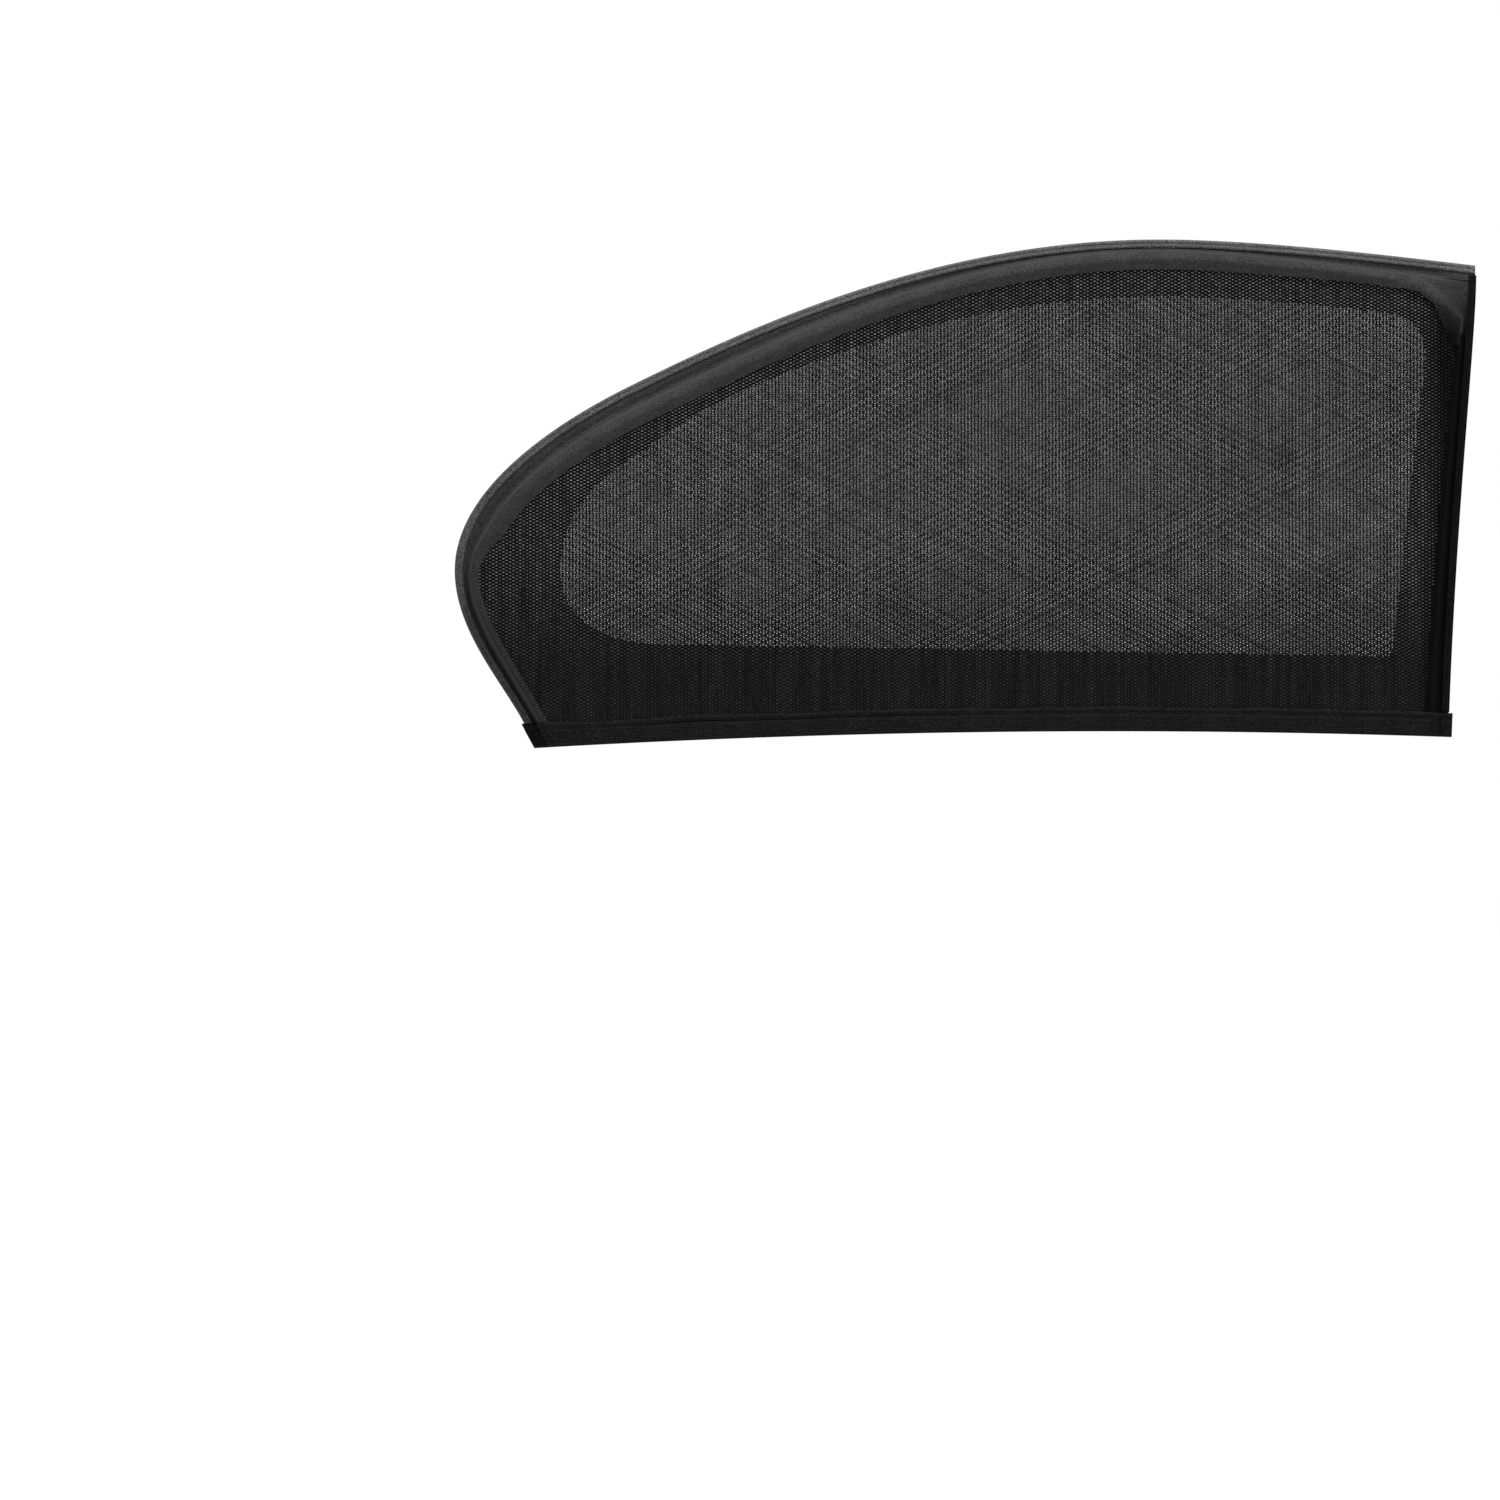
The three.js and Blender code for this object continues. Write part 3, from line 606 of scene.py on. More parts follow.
def knit(name, level, contrast, rib=0.0012, bump=0.5, sheen=0.0, shade_dims=()):
    """A dense knit: fine ribs in both directions, mottled yarn, a soft nap and places dimmed by painted
    shade.
    """
    material, surface = shader(name, grey(level), 0.92)
    mottle = noise(material, scale=800, detail=3)
    broad = noise(material, scale=38, detail=2)
    dark = grey(level * (1 - contrast))
    light = grey(level * (1 + contrast))
    speckled = blend(material, mottle, dark, light, (0.4, 0.6))
    color = multiplied(material, 0.35, speckled, blend(material, broad, grey(0.55), grey(1.0)))
    across = ribs(material, "X", WAVE_PITCH / rib, 1.5)
    upright = ribs(material, "Z", WAVE_PITCH / rib * 0.8, 1.5)
    loops = maths(material, "MULTIPLY", across, upright)
    nap = maths(material, "MULTIPLY_ADD", noise(material, scale=1500, detail=2), NAP, loops)
    dress(material, surface, with_painted_shade(material, color, shade_dims), nap, bump, 0.0006)
    surface.inputs["Sheen Weight"].default_value = sheen
    surface.inputs["Sheen Roughness"].default_value = 0.5
    return material


def yarn(name, level, streak, spread, shade_dims):
    """Net yarn: filaments along the strand, lighter and darker columns, and places dimmed by painted shade.
    """
    material, surface = shader(name, grey(level), 0.8)
    columns = noise(material, scale=1.0, detail=3, stretch_by=(150, 1, 9))
    grain = noise(material, scale=500, detail=2)
    dark = grey(level * (1 - streak))
    light = grey(level * (1 + streak))
    streaked = blend(material, columns, dark, light, (0.3, 0.7))
    color = multiplied(material, 0.8, streaked, blend(material, grain, grey(1 - spread), grey(1.0)))
    twist = ribs(material, "DIAGONAL", WAVE_PITCH / 0.0004, 2.0)
    dress(material, surface, with_painted_shade(material, color, shade_dims), twist, 0.4, 0.0002)
    return material


# Painted shade over the sleeve, in fades: an axis, where the fade starts and where it is full
X_AXIS = 0
Z_AXIS = 2
# The net dims low down and near the front edge, the border and tape towards the hem, and the border inside
# and below the front corner: all painted shade
NET_SHADE_TO_HEM = ((Z_AXIS, 0.20, 0.08),)
NET_SHADE_TO_FRONT = ((X_AXIS, 0.450, 0.475),)
BORDER_SHADE_TO_HEM = ((Z_AXIS, 0.32, 0.08),)
TAPE_SHADE_TO_HEM = ((Z_AXIS, 0.44, 0.10),)
SHADE_INSIDE_CORNER = ((X_AXIS, 0.432, 0.480), (Z_AXIS, 0.468, 0.440))
SHADE_BELOW_CORNER = ((X_AXIS, 0.450, 0.472), (Z_AXIS, 0.448, 0.412))

# Painted light: the knots are far lighter than the yarn, standing for light through the yarn from behind;
# both dim near the front, the knots also low down, as painted shade
net_yarn = yarn("net_yarn", 0.0095, 0.3, 0.5, [(NET_SHADE_TO_FRONT, 0.35)])
net_knots = yarn("net_knots", 0.19, 0.4, 0.7, [(NET_SHADE_TO_HEM, 0.2), (NET_SHADE_TO_FRONT, 0.15)])
# Painted shade: the border knit dims towards the hem and inside and below the front corner
border_knit = knit("border_knit", 0.046, 0.4, bump=0.8, sheen=0.05,
                   shade_dims=[(BORDER_SHADE_TO_HEM, 0.5), (SHADE_INSIDE_CORNER, 0.42), (SHADE_BELOW_CORNER, 0.15)])
# Painted shade: the front border is a much darker copy of the border's knit, for the side turned from the
# light
shaded_front_knit = knit("shaded_front_knit", 0.0034, 0.5)
hem_knit = knit("hem_knit", 0.013, 0.5, bump=0.8)
outer_knit = knit("outer_knit", 0.026, 0.5)
# The roof tape is lighter than the border, partly its own tone and partly a painted highlight of top light
# on the crown; it dims towards the hem as painted shade
tape_knit = knit("tape_knit", 0.14, 0.5, rib=0.0009, bump=0.9, sheen=0.1, shade_dims=[(TAPE_SHADE_TO_HEM, 0.5)])
# Painted shade: the front tape is a much darker copy of the roof tape
shaded_front_tape_knit = knit("shaded_front_tape_knit", 0.008, 0.5, rib=0.0009, bump=0.8)
thread = knit("thread", 0.1, 0.3, rib=0.0003)
hem_thread = knit("hem_thread", 0.02, 0.3, rib=0.0003)
elastic_rib = knit("elastic_rib", 0.012, 0.2, rib=0.001, bump=0.8)


# Stitches
def stitches(name, path, outwards, material):
    """Thread stitches along a path of points, each a short spindle that dips at both ends."""
    reach = np.r_[0, np.cumsum(np.linalg.norm(np.diff(path, axis=0), axis=1))]

    def at(spot):
        return np.array([np.interp(spot, reach, path[:, i]) for i in range(3)])

    sides = range(STITCH_SIDES)
    verts = []
    faces = []
    for start in np.arange(STITCH_PITCH / 2, reach[-1] - STITCH_PITCH, STITCH_PITCH):
        middle = at(start)
        ahead = at(start + STITCH_PITCH / 4)
        run = (ahead - middle) / np.linalg.norm(ahead - middle)
        up = outwards - run * outwards.dot(run)
        up /= np.linalg.norm(up)
        side = np.cross(run, up)
        first = len(verts)
        for share, width, lift in STITCH_RINGS:
            centre = middle + run * share * STITCH_LENGTH + up * lift * STITCH_RADIUS
            for k in sides:
                turn = 2 * math.pi * k / STITCH_SIDES
                spoke = side * math.cos(turn) + up * math.sin(turn)
                verts.append(centre + spoke * STITCH_RADIUS * width)
        last = first + (len(STITCH_RINGS) - 1) * STITCH_SIDES
        for ring in range(first, last, STITCH_SIDES):
            for k in sides:
                a = ring + k
                b = ring + (k + 1) % STITCH_SIDES
                faces.append((a, b, b + STITCH_SIDES, a + STITCH_SIDES))
        faces.append(tuple(first + k for k in reversed(sides)))
        faces.append(tuple(last + k for k in sides))
    row = new_object(name, verts, faces, [material])
    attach(row, "root")
    return row


def declare_cloth(piece, node):
    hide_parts(node)
    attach(piece, "root")


TO_CABIN = np.array([0.0, -1.0, 0.0])


# Nets
def outline_chords(outline, direction, spacing, uneven, rng):
    """Where even parallel lines lie inside an outline: pairs of end points."""
    direction = np.array(direction) / np.linalg.norm(direction)
    normal = np.array([-direction[1], direction[0]])
    along_line = outline @ direction
    across = outline @ normal
    next_along = np.roll(along_line, -1)
    next_across = np.roll(across, -1)
    chords = []
    first = math.ceil(across.min() / spacing)
    last = math.floor(across.max() / spacing)
    wander = rng.uniform(-uneven, uneven, last - first + 1)
    for k in range(first, last + 1):
        level = (k + wander[k - first]) * spacing
        hit = (across <= level) != (next_across <= level)
        share = (level - across[hit]) / (next_across[hit] - across[hit])
        spots = np.sort(along_line[hit] + share * (next_along[hit] - along_line[hit]))
        for a, b in zip(spots[::2], spots[1::2]):
            if b - a > STRAND:
                chords.append((a * direction + level * normal, b * direction + level * normal))
    return chords


def inside(outline, points):
    """Which points lie inside an outline."""
    x, z = points[:, 0], points[:, 1]
    within = np.zeros(len(points), bool)
    for (x0, z0), (x1, z1) in zip(outline, np.roll(outline, -1, axis=0)):
        crosses = (z0 > z) != (z1 > z)
        if crosses.any():
            at = x0 + (z[crosses] - z0) * (x1 - x0) / (z1 - z0)
            flips = x[crosses] < at
            within[np.flatnonzero(crosses)[flips]] ^= True
    return within


def lattice_points(outline, column, hole):
    """Crossings of the strands inside an outline."""
    low = outline.min(axis=0)
    high = outline.max(axis=0)
    i = np.arange(math.floor(low[0] / column), math.ceil(high[0] / column) + 1)
    j = np.arange(math.floor(low[1] / hole) - 1, math.ceil(high[1] / hole) + 1)
    column_i, row_j = np.meshgrid(i, j, indexing="ij")
    x = column_i * column
    z = (row_j + 0.5 * (column_i % 2)) * hole
    spots = np.stack([x.ravel(), z.ravel()], -1)
    return spots[inside(outline, spots)]


def net_panel(name, outline, depth_of, towards_cabin, gauge=1.0, uneven=0.0, knotted=True):
    """A net of two crossing families of strands, tied by a short knot where they cross."""
    column, hole, width = NET_COLUMN * gauge, NET_HOLE * gauge, STRAND * gauge
    side = 1 if towards_cabin else -1
    rng = np.random.default_rng(11)
    verts = []
    faces = []
    spacing = column * hole / math.hypot(column, hole / 2)
    for sign, layer in zip((1, -1), STRAND_LAYERS):
        direction = (column, sign * hole / 2)
        for a, b in outline_chords(outline, direction, spacing, uneven, rng):
            run = (b - a) / np.linalg.norm(b - a)
            edge = np.array([-run[1], run[0]]) * width / 2
            first = len(verts)
            for spot in (a, b):
                for shift, crest in ((-1, 0.0), (0, STRAND_CREST), (1, 0.0)):
                    p = spot + edge * shift
                    verts.append(place(p[0], p[1], depth_of(p[1]) - side * (layer - crest)))
            faces.append((first, first + 1, first + 4, first + 3))
            faces.append((first + 1, first + 2, first + 5, first + 4))
    if not knotted:
        return new_object(name, verts, faces, [net_yarn])
    spots = lattice_points(outline, column, hole)
    wide = KNOT_WIDTH / 2 * rng.uniform(*KNOT_WIDTHS, len(spots))
    tall = KNOT_HEIGHT / 2 * rng.uniform(*KNOT_HEIGHTS, len(spots))
    tilt = rng.uniform(-KNOT_TILT, KNOT_TILT, len(spots))
    corners = []
    for dx, dz in ((-1, -1), (1, -1), (-1, 0), (1, 0), (-1, 1), (1, 1)):
        x = spots[:, 0] + dx * wide
        z = spots[:, 1] + dz * tall + dx * tilt * wide
        crest = KNOT_CREST if dz == 0 else 0
        corners.append(place(x, z, depth_of(z) + side * (KNOT_LIFT + crest)))
    base = len(verts) + 6 * np.arange(len(spots))[:, None]
    verts = np.vstack([np.array(verts), np.stack(corners, 1).reshape(-1, 3)])
    knots = np.concatenate([base + [0, 1, 3, 2], base + [2, 3, 5, 4]], 1).reshape(-1, 4)
    kinds = [0] * len(faces) + [1] * len(knots)
    return new_object(name, verts, faces + [tuple(f) for f in knots], [net_yarn, net_knots], kinds)


def declare_net(piece, node):
    declare_cloth(piece, node)


def cabin_net():
    s = np.linspace(rear_station(RAW_EDGE), 1, 260)
    top = np.stack(roof_point(s, roof_border_width(s) - NET_LAP), -1)
    top = top[top[:, 0] < CORNER_FREE_EDGE[-1][0]]
    v = np.linspace(0, 1, 200)[::-1]
    edge = front_edge.at(v)
    under_front = edge[:, 0] - front_border(v) + 0.45 * FRONT_LAP
    z = np.linspace(0.45, 0.012, 120)
    side = np.stack([np.interp(z, edge[:, 1], under_front), z], -1)
    top = top[(top[:, 0] < CORNER_START) | (top[:, 0] < np.interp(top[:, 1], edge[:, 1], under_front))]
    side = side[(side[:, 1] < top[-1, 1]) & (side[:, 1] > hem_line(side[:, 0]) + RAW_EDGE)]
    x = np.linspace(side[-1, 0], top[0, 0], 60)[:-1]
    bottom = np.stack([x, hem_line(x) + RAW_EDGE], -1)
    outline = np.vstack([top, side, bottom])
    piece = net_panel("cabin_net_mesh", outline, lambda z: depth_at(z) - CLOTH / 2, towards_cabin=True)
    declare_net(piece, "cabin_net")


def window_top(x, margin):
    p = roof.points[roof.reach > BEAD_FULL]
    roof_z = np.interp(x, p[:, 0], p[:, 1])
    from_rear = 1 - smoothstep(x, WINDOW_REAR[0], SHOULDER[0] + WINDOW_TOP_MARGIN * 2)
    return roof_z - WINDOW_TOP_MARGIN * (1 + WINDOW_REAR_DROP * from_rear) + margin


def window_outline(margin):
    """Outline of the outer wall's window, grown by a margin."""
    shoulder = (SHOULDER[0], window_top(SHOULDER[0], margin))
    corner_top = (WINDOW_CORNER_X, window_top(WINDOW_CORNER_X, margin))
    rear = (WINDOW_REAR[0] - margin, WINDOW_REAR[1])
    sill_rear = (WINDOW_SILL_REAR_X, WINDOW_SILL_Z + WINDOW_SILL_REAR_RISE - margin)
    sill_front = (WINDOW_FRONT_X + margin, WINDOW_SILL_Z - margin)
    front_top = (WINDOW_FRONT_TOP[0] + margin, WINDOW_FRONT_TOP[1])
    rear_turn = SHOULDER_SLOPE + WINDOW_REAR_TURN
    turn_in, turn_out = WINDOW_CORNER_ANGLES
    n = WINDOW_POINTS
    x = np.linspace(SHOULDER[0], WINDOW_CORNER_X, 2 * n)
    return np.vstack(
        [
            stretch(rear, UP, shoulder, rear_turn, WINDOW_REAR_PULLS, n),
            np.stack([x, window_top(x, margin)], -1)[1:-1],
            stretch(corner_top, turn_in, front_top, turn_out, WINDOW_CORNER_PULLS, n),
            np.linspace(front_top, sill_front, n)[1:],
            np.linspace(sill_front, sill_rear, 2 * n)[1:-1],
            stretch(sill_rear, REARWARDS, rear, UP, WINDOW_SILL_PULLS, n)[:-1],
        ]
    )


def outer_net():
    outline = window_outline(WINDOW_LAP)
    piece = net_panel("outer_net_mesh", outline, lambda z: OUTER_NET_DEPTH, towards_cabin=False,
                      gauge=OUTER_GAUGE, uneven=OUTER_UNEVEN, knotted=False)
    declare_net(piece, "outer_net")


def cabin_roof_border():
    before_corner = station_at(BEFORE_CORNER)
    along_roof = np.linspace(rear_station(RAW_EDGE), before_corner, 380)
    s = np.r_[along_roof, np.linspace(before_corner, 1 - (CLOTH + GAP) / roof.length, 60)[1:]]
    t, depth = roof_section(s, np.linspace(0, 1, 74))
    reach = (s * roof.length)[:, None]
    past_lip = t - lip_width(s)[:, None]
    lip_relief = sum(ridge(past_lip, spot, width) * height for spot, width, height in LIP_RIBS)
    lip_relief *= smoothstep(reach, *LIP_RIBS_REACH)
    slack = fold_noise(reach + t * 3, seed=5, wave=0.05) * 0.0003 * smoothstep(t, 0.009, 0.02)
    x, z = roof_point(s[:, None] + 0 * t, t)
    in_corner = corner_share(x) * smoothstep(past_lip, 0.002, 0.0045)
    depth = lerp(depth, cloth_depth(z, corner_rise(x, z), COVER), in_corner)
    depth = depth + lip_relief + slack + corner_bead(x, z)
    lean = front_edge_x(z) - FRONT_CORNER[0]
    points = place(x + lean * smoothstep(x, *CORNER_LEAN_X), z, depth)
    piece = cloth_grid("roof_border_knit", points, border_knit)
    declare_cloth(piece, "cabin_roof_border")


def front_folds(v, z, share, top):
    """Height of the soft upright folds in the front border."""
    rng = np.random.default_rng(3)
    folds = np.zeros_like(z)
    for k in range(5):
        spot = lerp(0.25, 0.85, k / 4) + 0.09 * fold_noise(z, seed=20 + k, wave=0.16)
        narrow = rng.uniform(0.035, 0.06)
        strength = 0.5 + 0.5 * fold_noise(z, seed=40 + k, wave=0.09)
        folds += ridge(share, spot, narrow) * strength * 0.0016
    across = smoothstep(share, 0.2, 0.35) * (1 - smoothstep(share, 0.86, 0.97))
    return folds * across * smoothstep(v, top + 0.03, top + 0.1)


def cabin_front_border():
    top = front_edge.share_where(front_edge.points[:, 1] > CORNER_FREE_EDGE[-1][1] + CORNER_LAP)
    v = np.linspace(top, front_station(RAW_EDGE), 260)[:, None]
    share = np.linspace(0, 1, 40)[None, :]
    width = front_border(v)
    t = lerp(CLOTH + GAP, width, share)
    edge = front_edge.at(v)[:, 0]
    edge_x = edge[:, :1]
    x = edge_x - t
    near_foot = smoothstep(v, 0.6, front_station(TAPE_FOOT))
    z = edge[:, 1:] + (hem_line(x) - hem_line(edge_x)) * near_foot
    depth = cloth_depth(z, front_rise(t, width), TUCK)
    points = place(x, z, depth + front_folds(v, z, share, top))
    piece = cloth_grid("front_border_knit", points, shaded_front_knit)
    declare_cloth(piece, "cabin_front_border")


def tape(name, node, outline_at, count, cloth_material, thread_material):
    """A tape folded round the raw edges, with a raised rib along each edge of its cabin leg."""
    over = LIP_DEPTH + CLOTH + GAP
    back = -GAP - CLOTH / 2
    outer_t, outer_rise = TAPE_RIBS["outer"]
    inner_t, inner_rise = TAPE_RIBS["inner"]
    # Distance inwards from the outline, and depth
    keys = [
        (TAPE_LEG, back),
        (TAPE_LEG * 0.75, back - 0.0003),
        (TAPE_LEG * 0.4, back),
        (0.0016, back),
        (0.0007, back * 0.4),
        (0.0005, over * 0.5),
        (0.0007, over * 0.86),
        (0.0017, over + 0.0003),
        (outer_t, over + outer_rise),
        (0.0040, over + 0.0001),
        (0.0055, over + 0.0001),
        (inner_t, over + inner_rise),
        (TAPE_LEG, over),
    ]
    t, depth = spline(np.array(keys)[None], np.linspace(0, 1, 49))[0].T
    share = np.linspace(0, 1, count)
    x, z = outline_at(share[:, None], t)
    pucker = fold_noise(share[:, None] * count * 0.004 + 0 * x, seed=8, wave=0.021) * 0.00022
    points = place(x, z, depth + pucker * (depth > LIP_DEPTH))
    piece = cloth_grid(name, points, cloth_material, CLOTH * 0.9)
    for label, (rib_t, rise) in TAPE_RIBS.items():
        x, z = outline_at(share, np.full(count, rib_t))
        path = place(x, z, over + rise + CLOTH * 0.45)
        stitches(f"{name}_{label}_stitches", path, TO_CABIN, thread_material)
    declare_cloth(piece, node)


def roof_binding():
    low = rear_station(TAPE_FOOT)
    high = 1 - (CLOTH + GAP) / roof.length

    def outline_at(share, t):
        return roof_point(lerp(low, high, share) + 0 * t, t + 0 * share)

    tape("roof_tape", "roof_binding", outline_at, 460, tape_knit, thread)


def front_binding():
    below_roof = FRONT_CORNER[1] - TAPE_LEG - CLOTH - 2 * GAP
    low = front_edge.share_where(front_edge.points[:, 1] > below_roof)
    high = front_station(TAPE_FOOT)

    def outline_at(share, t):
        edge = front_edge.at(lerp(low, high, share))
        return edge[..., 0] - t, edge[..., 1] + 0 * t

    tape("front_tape", "front_binding", outline_at, 170, shaded_front_tape_knit, hem_thread)


def hem_path(height):
    """Path of the cabin hem at one height, round the rear, along the wall and round the front."""
    shares = np.linspace(0, 1, 34)
    s = np.array([rear_station(height)])
    t, depth = roof_section(s, shares)
    t = np.r_[-HEM_OVERHANG, t[0]]
    x, z = roof_point(s + 0 * t, t)
    rear = place(x, z, np.r_[LIP_DEPTH, depth[0]])
    v = front_station(height)
    width = front_border(v)
    t = np.r_[-HEM_OVERHANG, lerp(CLOTH + GAP, width, shares)][::-1]
    x = front_edge.at(v)[0] - t
    z = hem_line(x) + height
    front = place(x, z, cloth_depth(z, front_rise(t, width), COVER))
    x = np.linspace(rear[-1, 0], front[0, 0], 330)[1:-1]
    z = hem_line(x) + height
    return np.vstack([rear, place(x, z, depth_at(z) + COVER), front])


def beside(path, push):
    """A path moved sideways, towards the cabin."""
    run = np.gradient(path[:, :2], axis=0)
    run /= np.linalg.norm(run, axis=1, keepdims=True)
    moved = path.copy()
    moved[:, 0] += run[:, 1] * push
    moved[:, 1] -= run[:, 0] * push
    return moved


def inner_leg(path):
    """How far the hem's inner leg lies behind its path: more where the wall is tucked in."""
    wall = depth_at(path[:, 2]) + COVER - LIP_DEPTH
    share = np.clip((outer_y(path[:, 2]) - path[:, 1] - LIP_DEPTH) / wall, 0, 1)
    return -lerp(CLOTH / 2 + GAP, COVER - TUCK + CLOTH / 2 + GAP, share)


def hem_relief(x, height, wave):
    """How far the cabin hem stands out: belly, rolled edge, slit, ribs and puckers."""
    toe = HEM_TOE_DIP if height <= HEM_TOE else 0
    belly = HEM_BELLY * math.sin(math.pi * height / HEM_HEIGHT) - toe
    roll = HEM_ROLL * ridge(height, HEM_ROLL_AT, HEM_ROLL_WIDTH)
    shut, rear_open, front_open, front_shut = HEM_SLIT_OPEN_X
    open_share = smoothstep(x, shut, rear_open) * (1 - smoothstep(x, front_open, front_shut))
    slit = HEM_SLIT * lerp(HEM_SLIT_SHUT, 1, open_share)
    slit = slit * ridge(height - wave * 0.0005, HEM_SLIT_AT, HEM_SLIT_WIDTH)
    fine = HEM_RIB * np.sin(2 * math.pi * height / HEM_RIB_PITCH + wave * 1.5)
    fine = fine * (1 - smoothstep(height, 0.014, 0.017))
    pucker = fold_noise(x, seed=61, wave=0.014) * 0.0002 * smoothstep(height, 0.010, 0.018)
    return belly + roll - slit + fine + pucker


def cabin_hem():
    outside = CLOTH + GAP
    lines = []
    for height in np.r_[np.linspace(HEM_HEIGHT, 0.0015, 54), HEM_TOE]:
        path = hem_path(height)
        wave = fold_noise(path[:, 0], seed=60, wave=0.11)
        line = beside(path, outside + hem_relief(path[:, 0], height, wave))
        line[:, 2] += wave * 0.0009 * smoothstep(height, HEM_HEIGHT * 0.7, HEM_HEIGHT)
        lines.append(line)
    for height in (0.0005, 0.004, 0.009, HEM_INNER):
        path = hem_path(height)
        lines.append(beside(path, inner_leg(path) - CLOTH / 2))
    points = np.stack(lines)
    piece = cloth_grid("cabin_hem_knit", points, hem_knit)
    row_path = beside(hem_path(HEM_STITCH_HEIGHT), outside + 0.0002 + CLOTH / 2)[2:-2]
    row = stitches("cabin_hem_stitches", row_path, TO_CABIN, hem_thread)
    declare_cloth(piece, "cabin_hem")


def outer_hem():
    near = -GAP - CLOTH / 2
    far = CLOTH + GAP + CLOTH / 2
    profile = [(HEM_HEIGHT, near)]
    for share in np.linspace(0.9, 0.08, 10):
        profile.append((HEM_HEIGHT * share, near - 0.0008 * math.sin(math.pi * share)))
    profile += [(0.0007, near * 0.6), (0.0005, CLOTH / 2), (0.0007, far * 0.8)]
    profile += [(0.004, far), (0.010, far), (HEM_INNER, far)]
    share = np.linspace(0, 1, 360)
    lines = []
    for height, depth in profile:
        rear_end = roof.at(rear_station(height))[0] - HEM_OVERHANG
        front_end = front_edge.at(front_station(height))[0] + HEM_OVERHANG
        x = lerp(rear_end, front_end, share)
        pucker = fold_noise(x, seed=71, wave=0.014) * 0.0002 * smoothstep(height, 0.012, 0.02)
        lines.append(place(x, hem_line(x) + height, depth - pucker))
    points = np.stack(lines)
    piece = cloth_grid("outer_hem_knit", points, hem_knit)
    x = lerp(REAR_HEM_X, FRONT_HEM_X, share)
    row_path = place(x, hem_line(x) + HEM_STITCH_HEIGHT, near - CLOTH / 2 - 0.0003)
    row = stitches("outer_hem_stitches", row_path, -TO_CABIN, hem_thread)
    declare_cloth(piece, "outer_hem")


def ray_hits(outline, centre, angles):
    """Where rays from a centre leave an outline."""
    hits = np.zeros((len(angles), 2))
    a = outline - centre
    b = np.roll(a, -1, axis=0)
    for i, angle in enumerate(angles):
        ray = np.array([math.cos(angle), math.sin(angle)])
        cross_a = ray[0] * a[:, 1] - ray[1] * a[:, 0]
        cross_b = ray[0] * b[:, 1] - ray[1] * b[:, 0]
        with np.errstate(divide="ignore", invalid="ignore"):
            share = cross_a / (cross_a - cross_b)
            spots = a + share[:, None] * (b - a)
        reach = spots @ ray
        good = ((cross_a <= 0) != (cross_b <= 0)) & (reach > 0)
        hits[i] = centre + ray * reach[good].max()
    return hits


def outer_border():
    inset = CLOTH + GAP
    s = np.linspace(rear_station(RAW_EDGE), 1 - inset / roof.length, 300)
    roof_part = np.stack(roof_point(s, inset + 0 * s), -1)
    front_part = front_edge.at(np.linspace(0.004, front_station(RAW_EDGE), 80)) - np.array([inset, 0])
    x = np.linspace(front_part[-1, 0], roof_part[0, 0], 100)[1:-1]
    bottom = np.stack([x, hem_line(x) + RAW_EDGE], -1)
    outline = np.vstack([roof_part, front_part, bottom])
    window = window_outline(0)
    # The rays run from the window's middle, and each corner has a ray of its own
    centre = np.array(WINDOW_CENTRE)
    corners = np.vstack(
        [roof_part[[0, -1]], front_part[[-1]], window[[0]], [[WINDOW_FRONT_X, WINDOW_SILL_Z]]]
    )
    exact = np.arctan2(*(corners - centre)[:, ::-1].T)
    even = np.linspace(-math.pi, math.pi, 560, endpoint=False)
    angles = np.sort(np.unique(np.r_[even, exact]))
    far = ray_hits(outline, centre, angles)
    near = ray_hits(window, centre, angles)
    swell = fold_noise(angles, seed=81, wave=0.5) * 0.0004
    rows = []
    for share in np.linspace(0, 1, 14):
        ring = lerp(near, far, share)
        rows.append(place(ring[:, 0], ring[:, 1], CLOTH / 2 + swell * math.sin(math.pi * share) ** 2))
    piece = cloth_grid("outer_border_knit", np.stack(rows), outer_knit, closed=True)
    seam = window_outline(WINDOW_SEAM)
    seam = np.vstack([seam, seam[:1]])
    path = place(seam[:, 0], seam[:, 1], -GAP)
    row = stitches("outer_window_stitches", path, -TO_CABIN, hem_thread)
    declare_cloth(piece, "outer_border")


def elastics():
    for node in ("cabin_hem_elastic", "outer_hem_elastic"):
        piece = frame["nodes"][node]
        piece.data.materials.clear()
        piece.data.materials.append(elastic_rib)


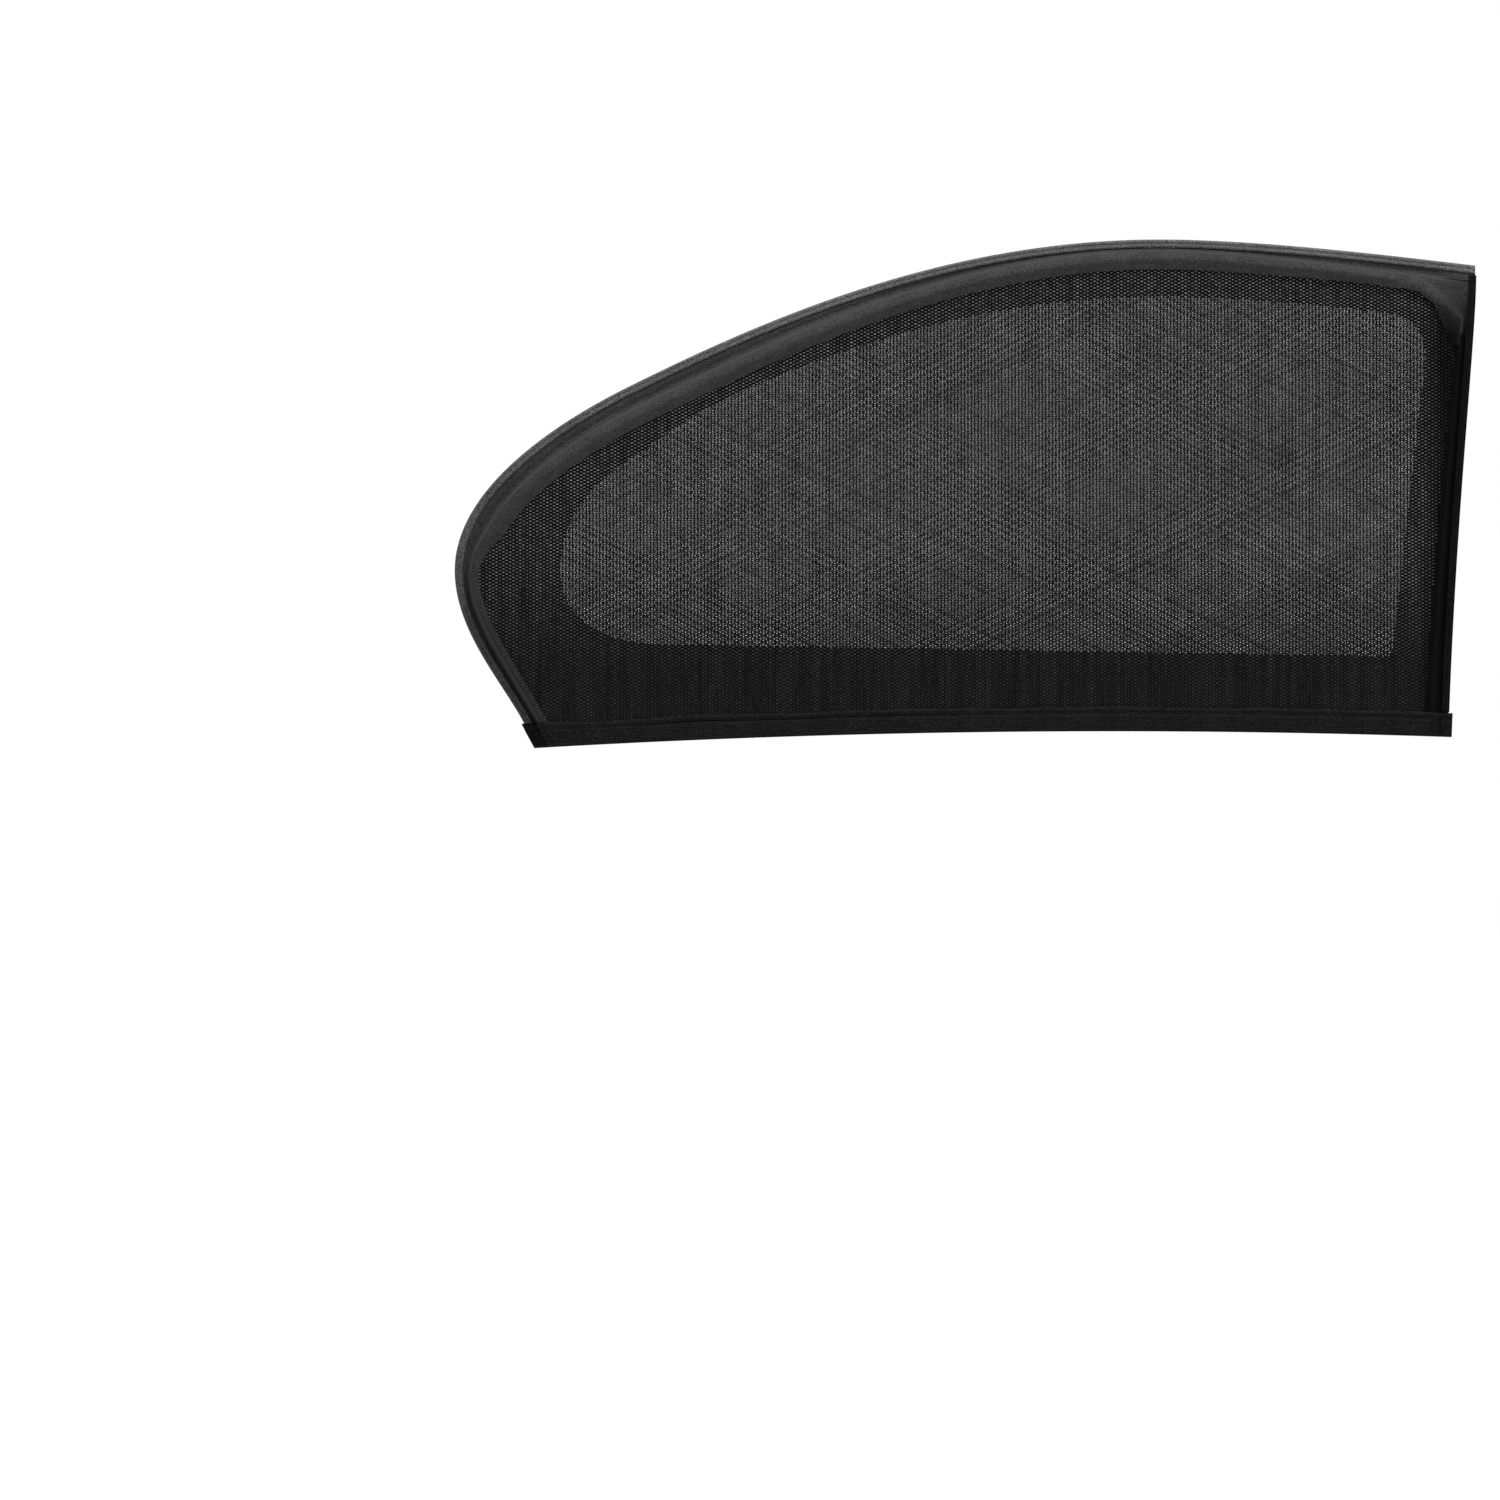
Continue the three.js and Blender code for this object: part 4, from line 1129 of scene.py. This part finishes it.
# Stage, light and camera
def stage():
    """A pale floor that shows as white to the camera, in glass and in gloss."""
    material, surface = shader("floor_paint", (0.82, 0.82, 0.81), 0.7)
    rays = add(material, "ShaderNodeLightPath").outputs
    seen = maths(material, "MAXIMUM", rays["Is Camera Ray"], rays["Is Glossy Ray"])
    seen = maths(material, "MAXIMUM", seen, rays["Is Transmission Ray"])
    glow = maths(material, "MULTIPLY", seen, FLOOR_GLOW)
    surface.inputs["Emission Color"].default_value = (1, 1, 1, 1)
    material.node_tree.links.new(glow, surface.inputs["Emission Strength"])
    corners = [(x * FLOOR_REACH, y * FLOOR_REACH, FLOOR_Z) for x, y in ((-1, -1), (1, -1), (1, 1), (-1, 1))]
    new_object("floor", corners, [(0, 1, 2, 3)], [material], smooth=False)


def world():
    """A soft grey sky that shows as white to the camera, in glass and in gloss."""
    sky = bpy.data.worlds.new("studio")
    bpy.context.scene.world = sky
    sky.use_nodes = True
    sky.node_tree.nodes.clear()
    rays = add(sky, "ShaderNodeLightPath").outputs
    seen = maths(sky, "MAXIMUM", rays["Is Camera Ray"], rays["Is Transmission Ray"])
    seen = maths(sky, "MAXIMUM", seen, rays["Is Glossy Ray"])
    level = add(sky, "ShaderNodeMapRange", {0: seen, 3: SKY_LEVEL, 4: 1.0}).outputs[0]
    background = add(sky, "ShaderNodeBackground", {"Color": (1, 1, 1, 1), "Strength": level})
    add(sky, "ShaderNodeOutputWorld", {0: background.outputs[0]})


def lamp(name, position, target, size, power):
    data = bpy.data.lights.new(name, "AREA")
    data.shape = "SQUARE"
    data.size = size
    data.energy = power
    piece = bpy.data.objects.new(name, data)
    bpy.context.scene.collection.objects.link(piece)
    piece.location = position
    piece.rotation_euler = (Vector(target) - Vector(position)).to_track_quat("-Z", "Y").to_euler()


def camera():
    data = bpy.data.cameras.new("camera")
    data.sensor_width = SENSOR
    data.lens = SENSOR * CAMERA_DISTANCE / FRAME_WIDTH
    data.clip_end = 100
    piece = bpy.data.objects.new("camera", data)
    bpy.context.scene.collection.objects.link(piece)
    piece.location = (CAMERA_X, -CAMERA_DISTANCE, CAMERA_Z)
    piece.rotation_euler = (math.radians(90), 0, 0)
    bpy.context.scene.camera = piece


camera()
world()
lamp("key", position=(0.5, -1.7, 3.2), target=(0, 0, 0.3), size=1.6, power=125)
lamp("fill", position=(-0.6, -4.5, 0.8), target=(0, 0, 0.25), size=2.5, power=60)
stage()
cabin_net()
outer_net()
cabin_roof_border()
cabin_front_border()
roof_binding()
front_binding()
cabin_hem()
outer_hem()
outer_border()
elastics()
bpy.context.scene.view_settings.view_transform = "Standard"
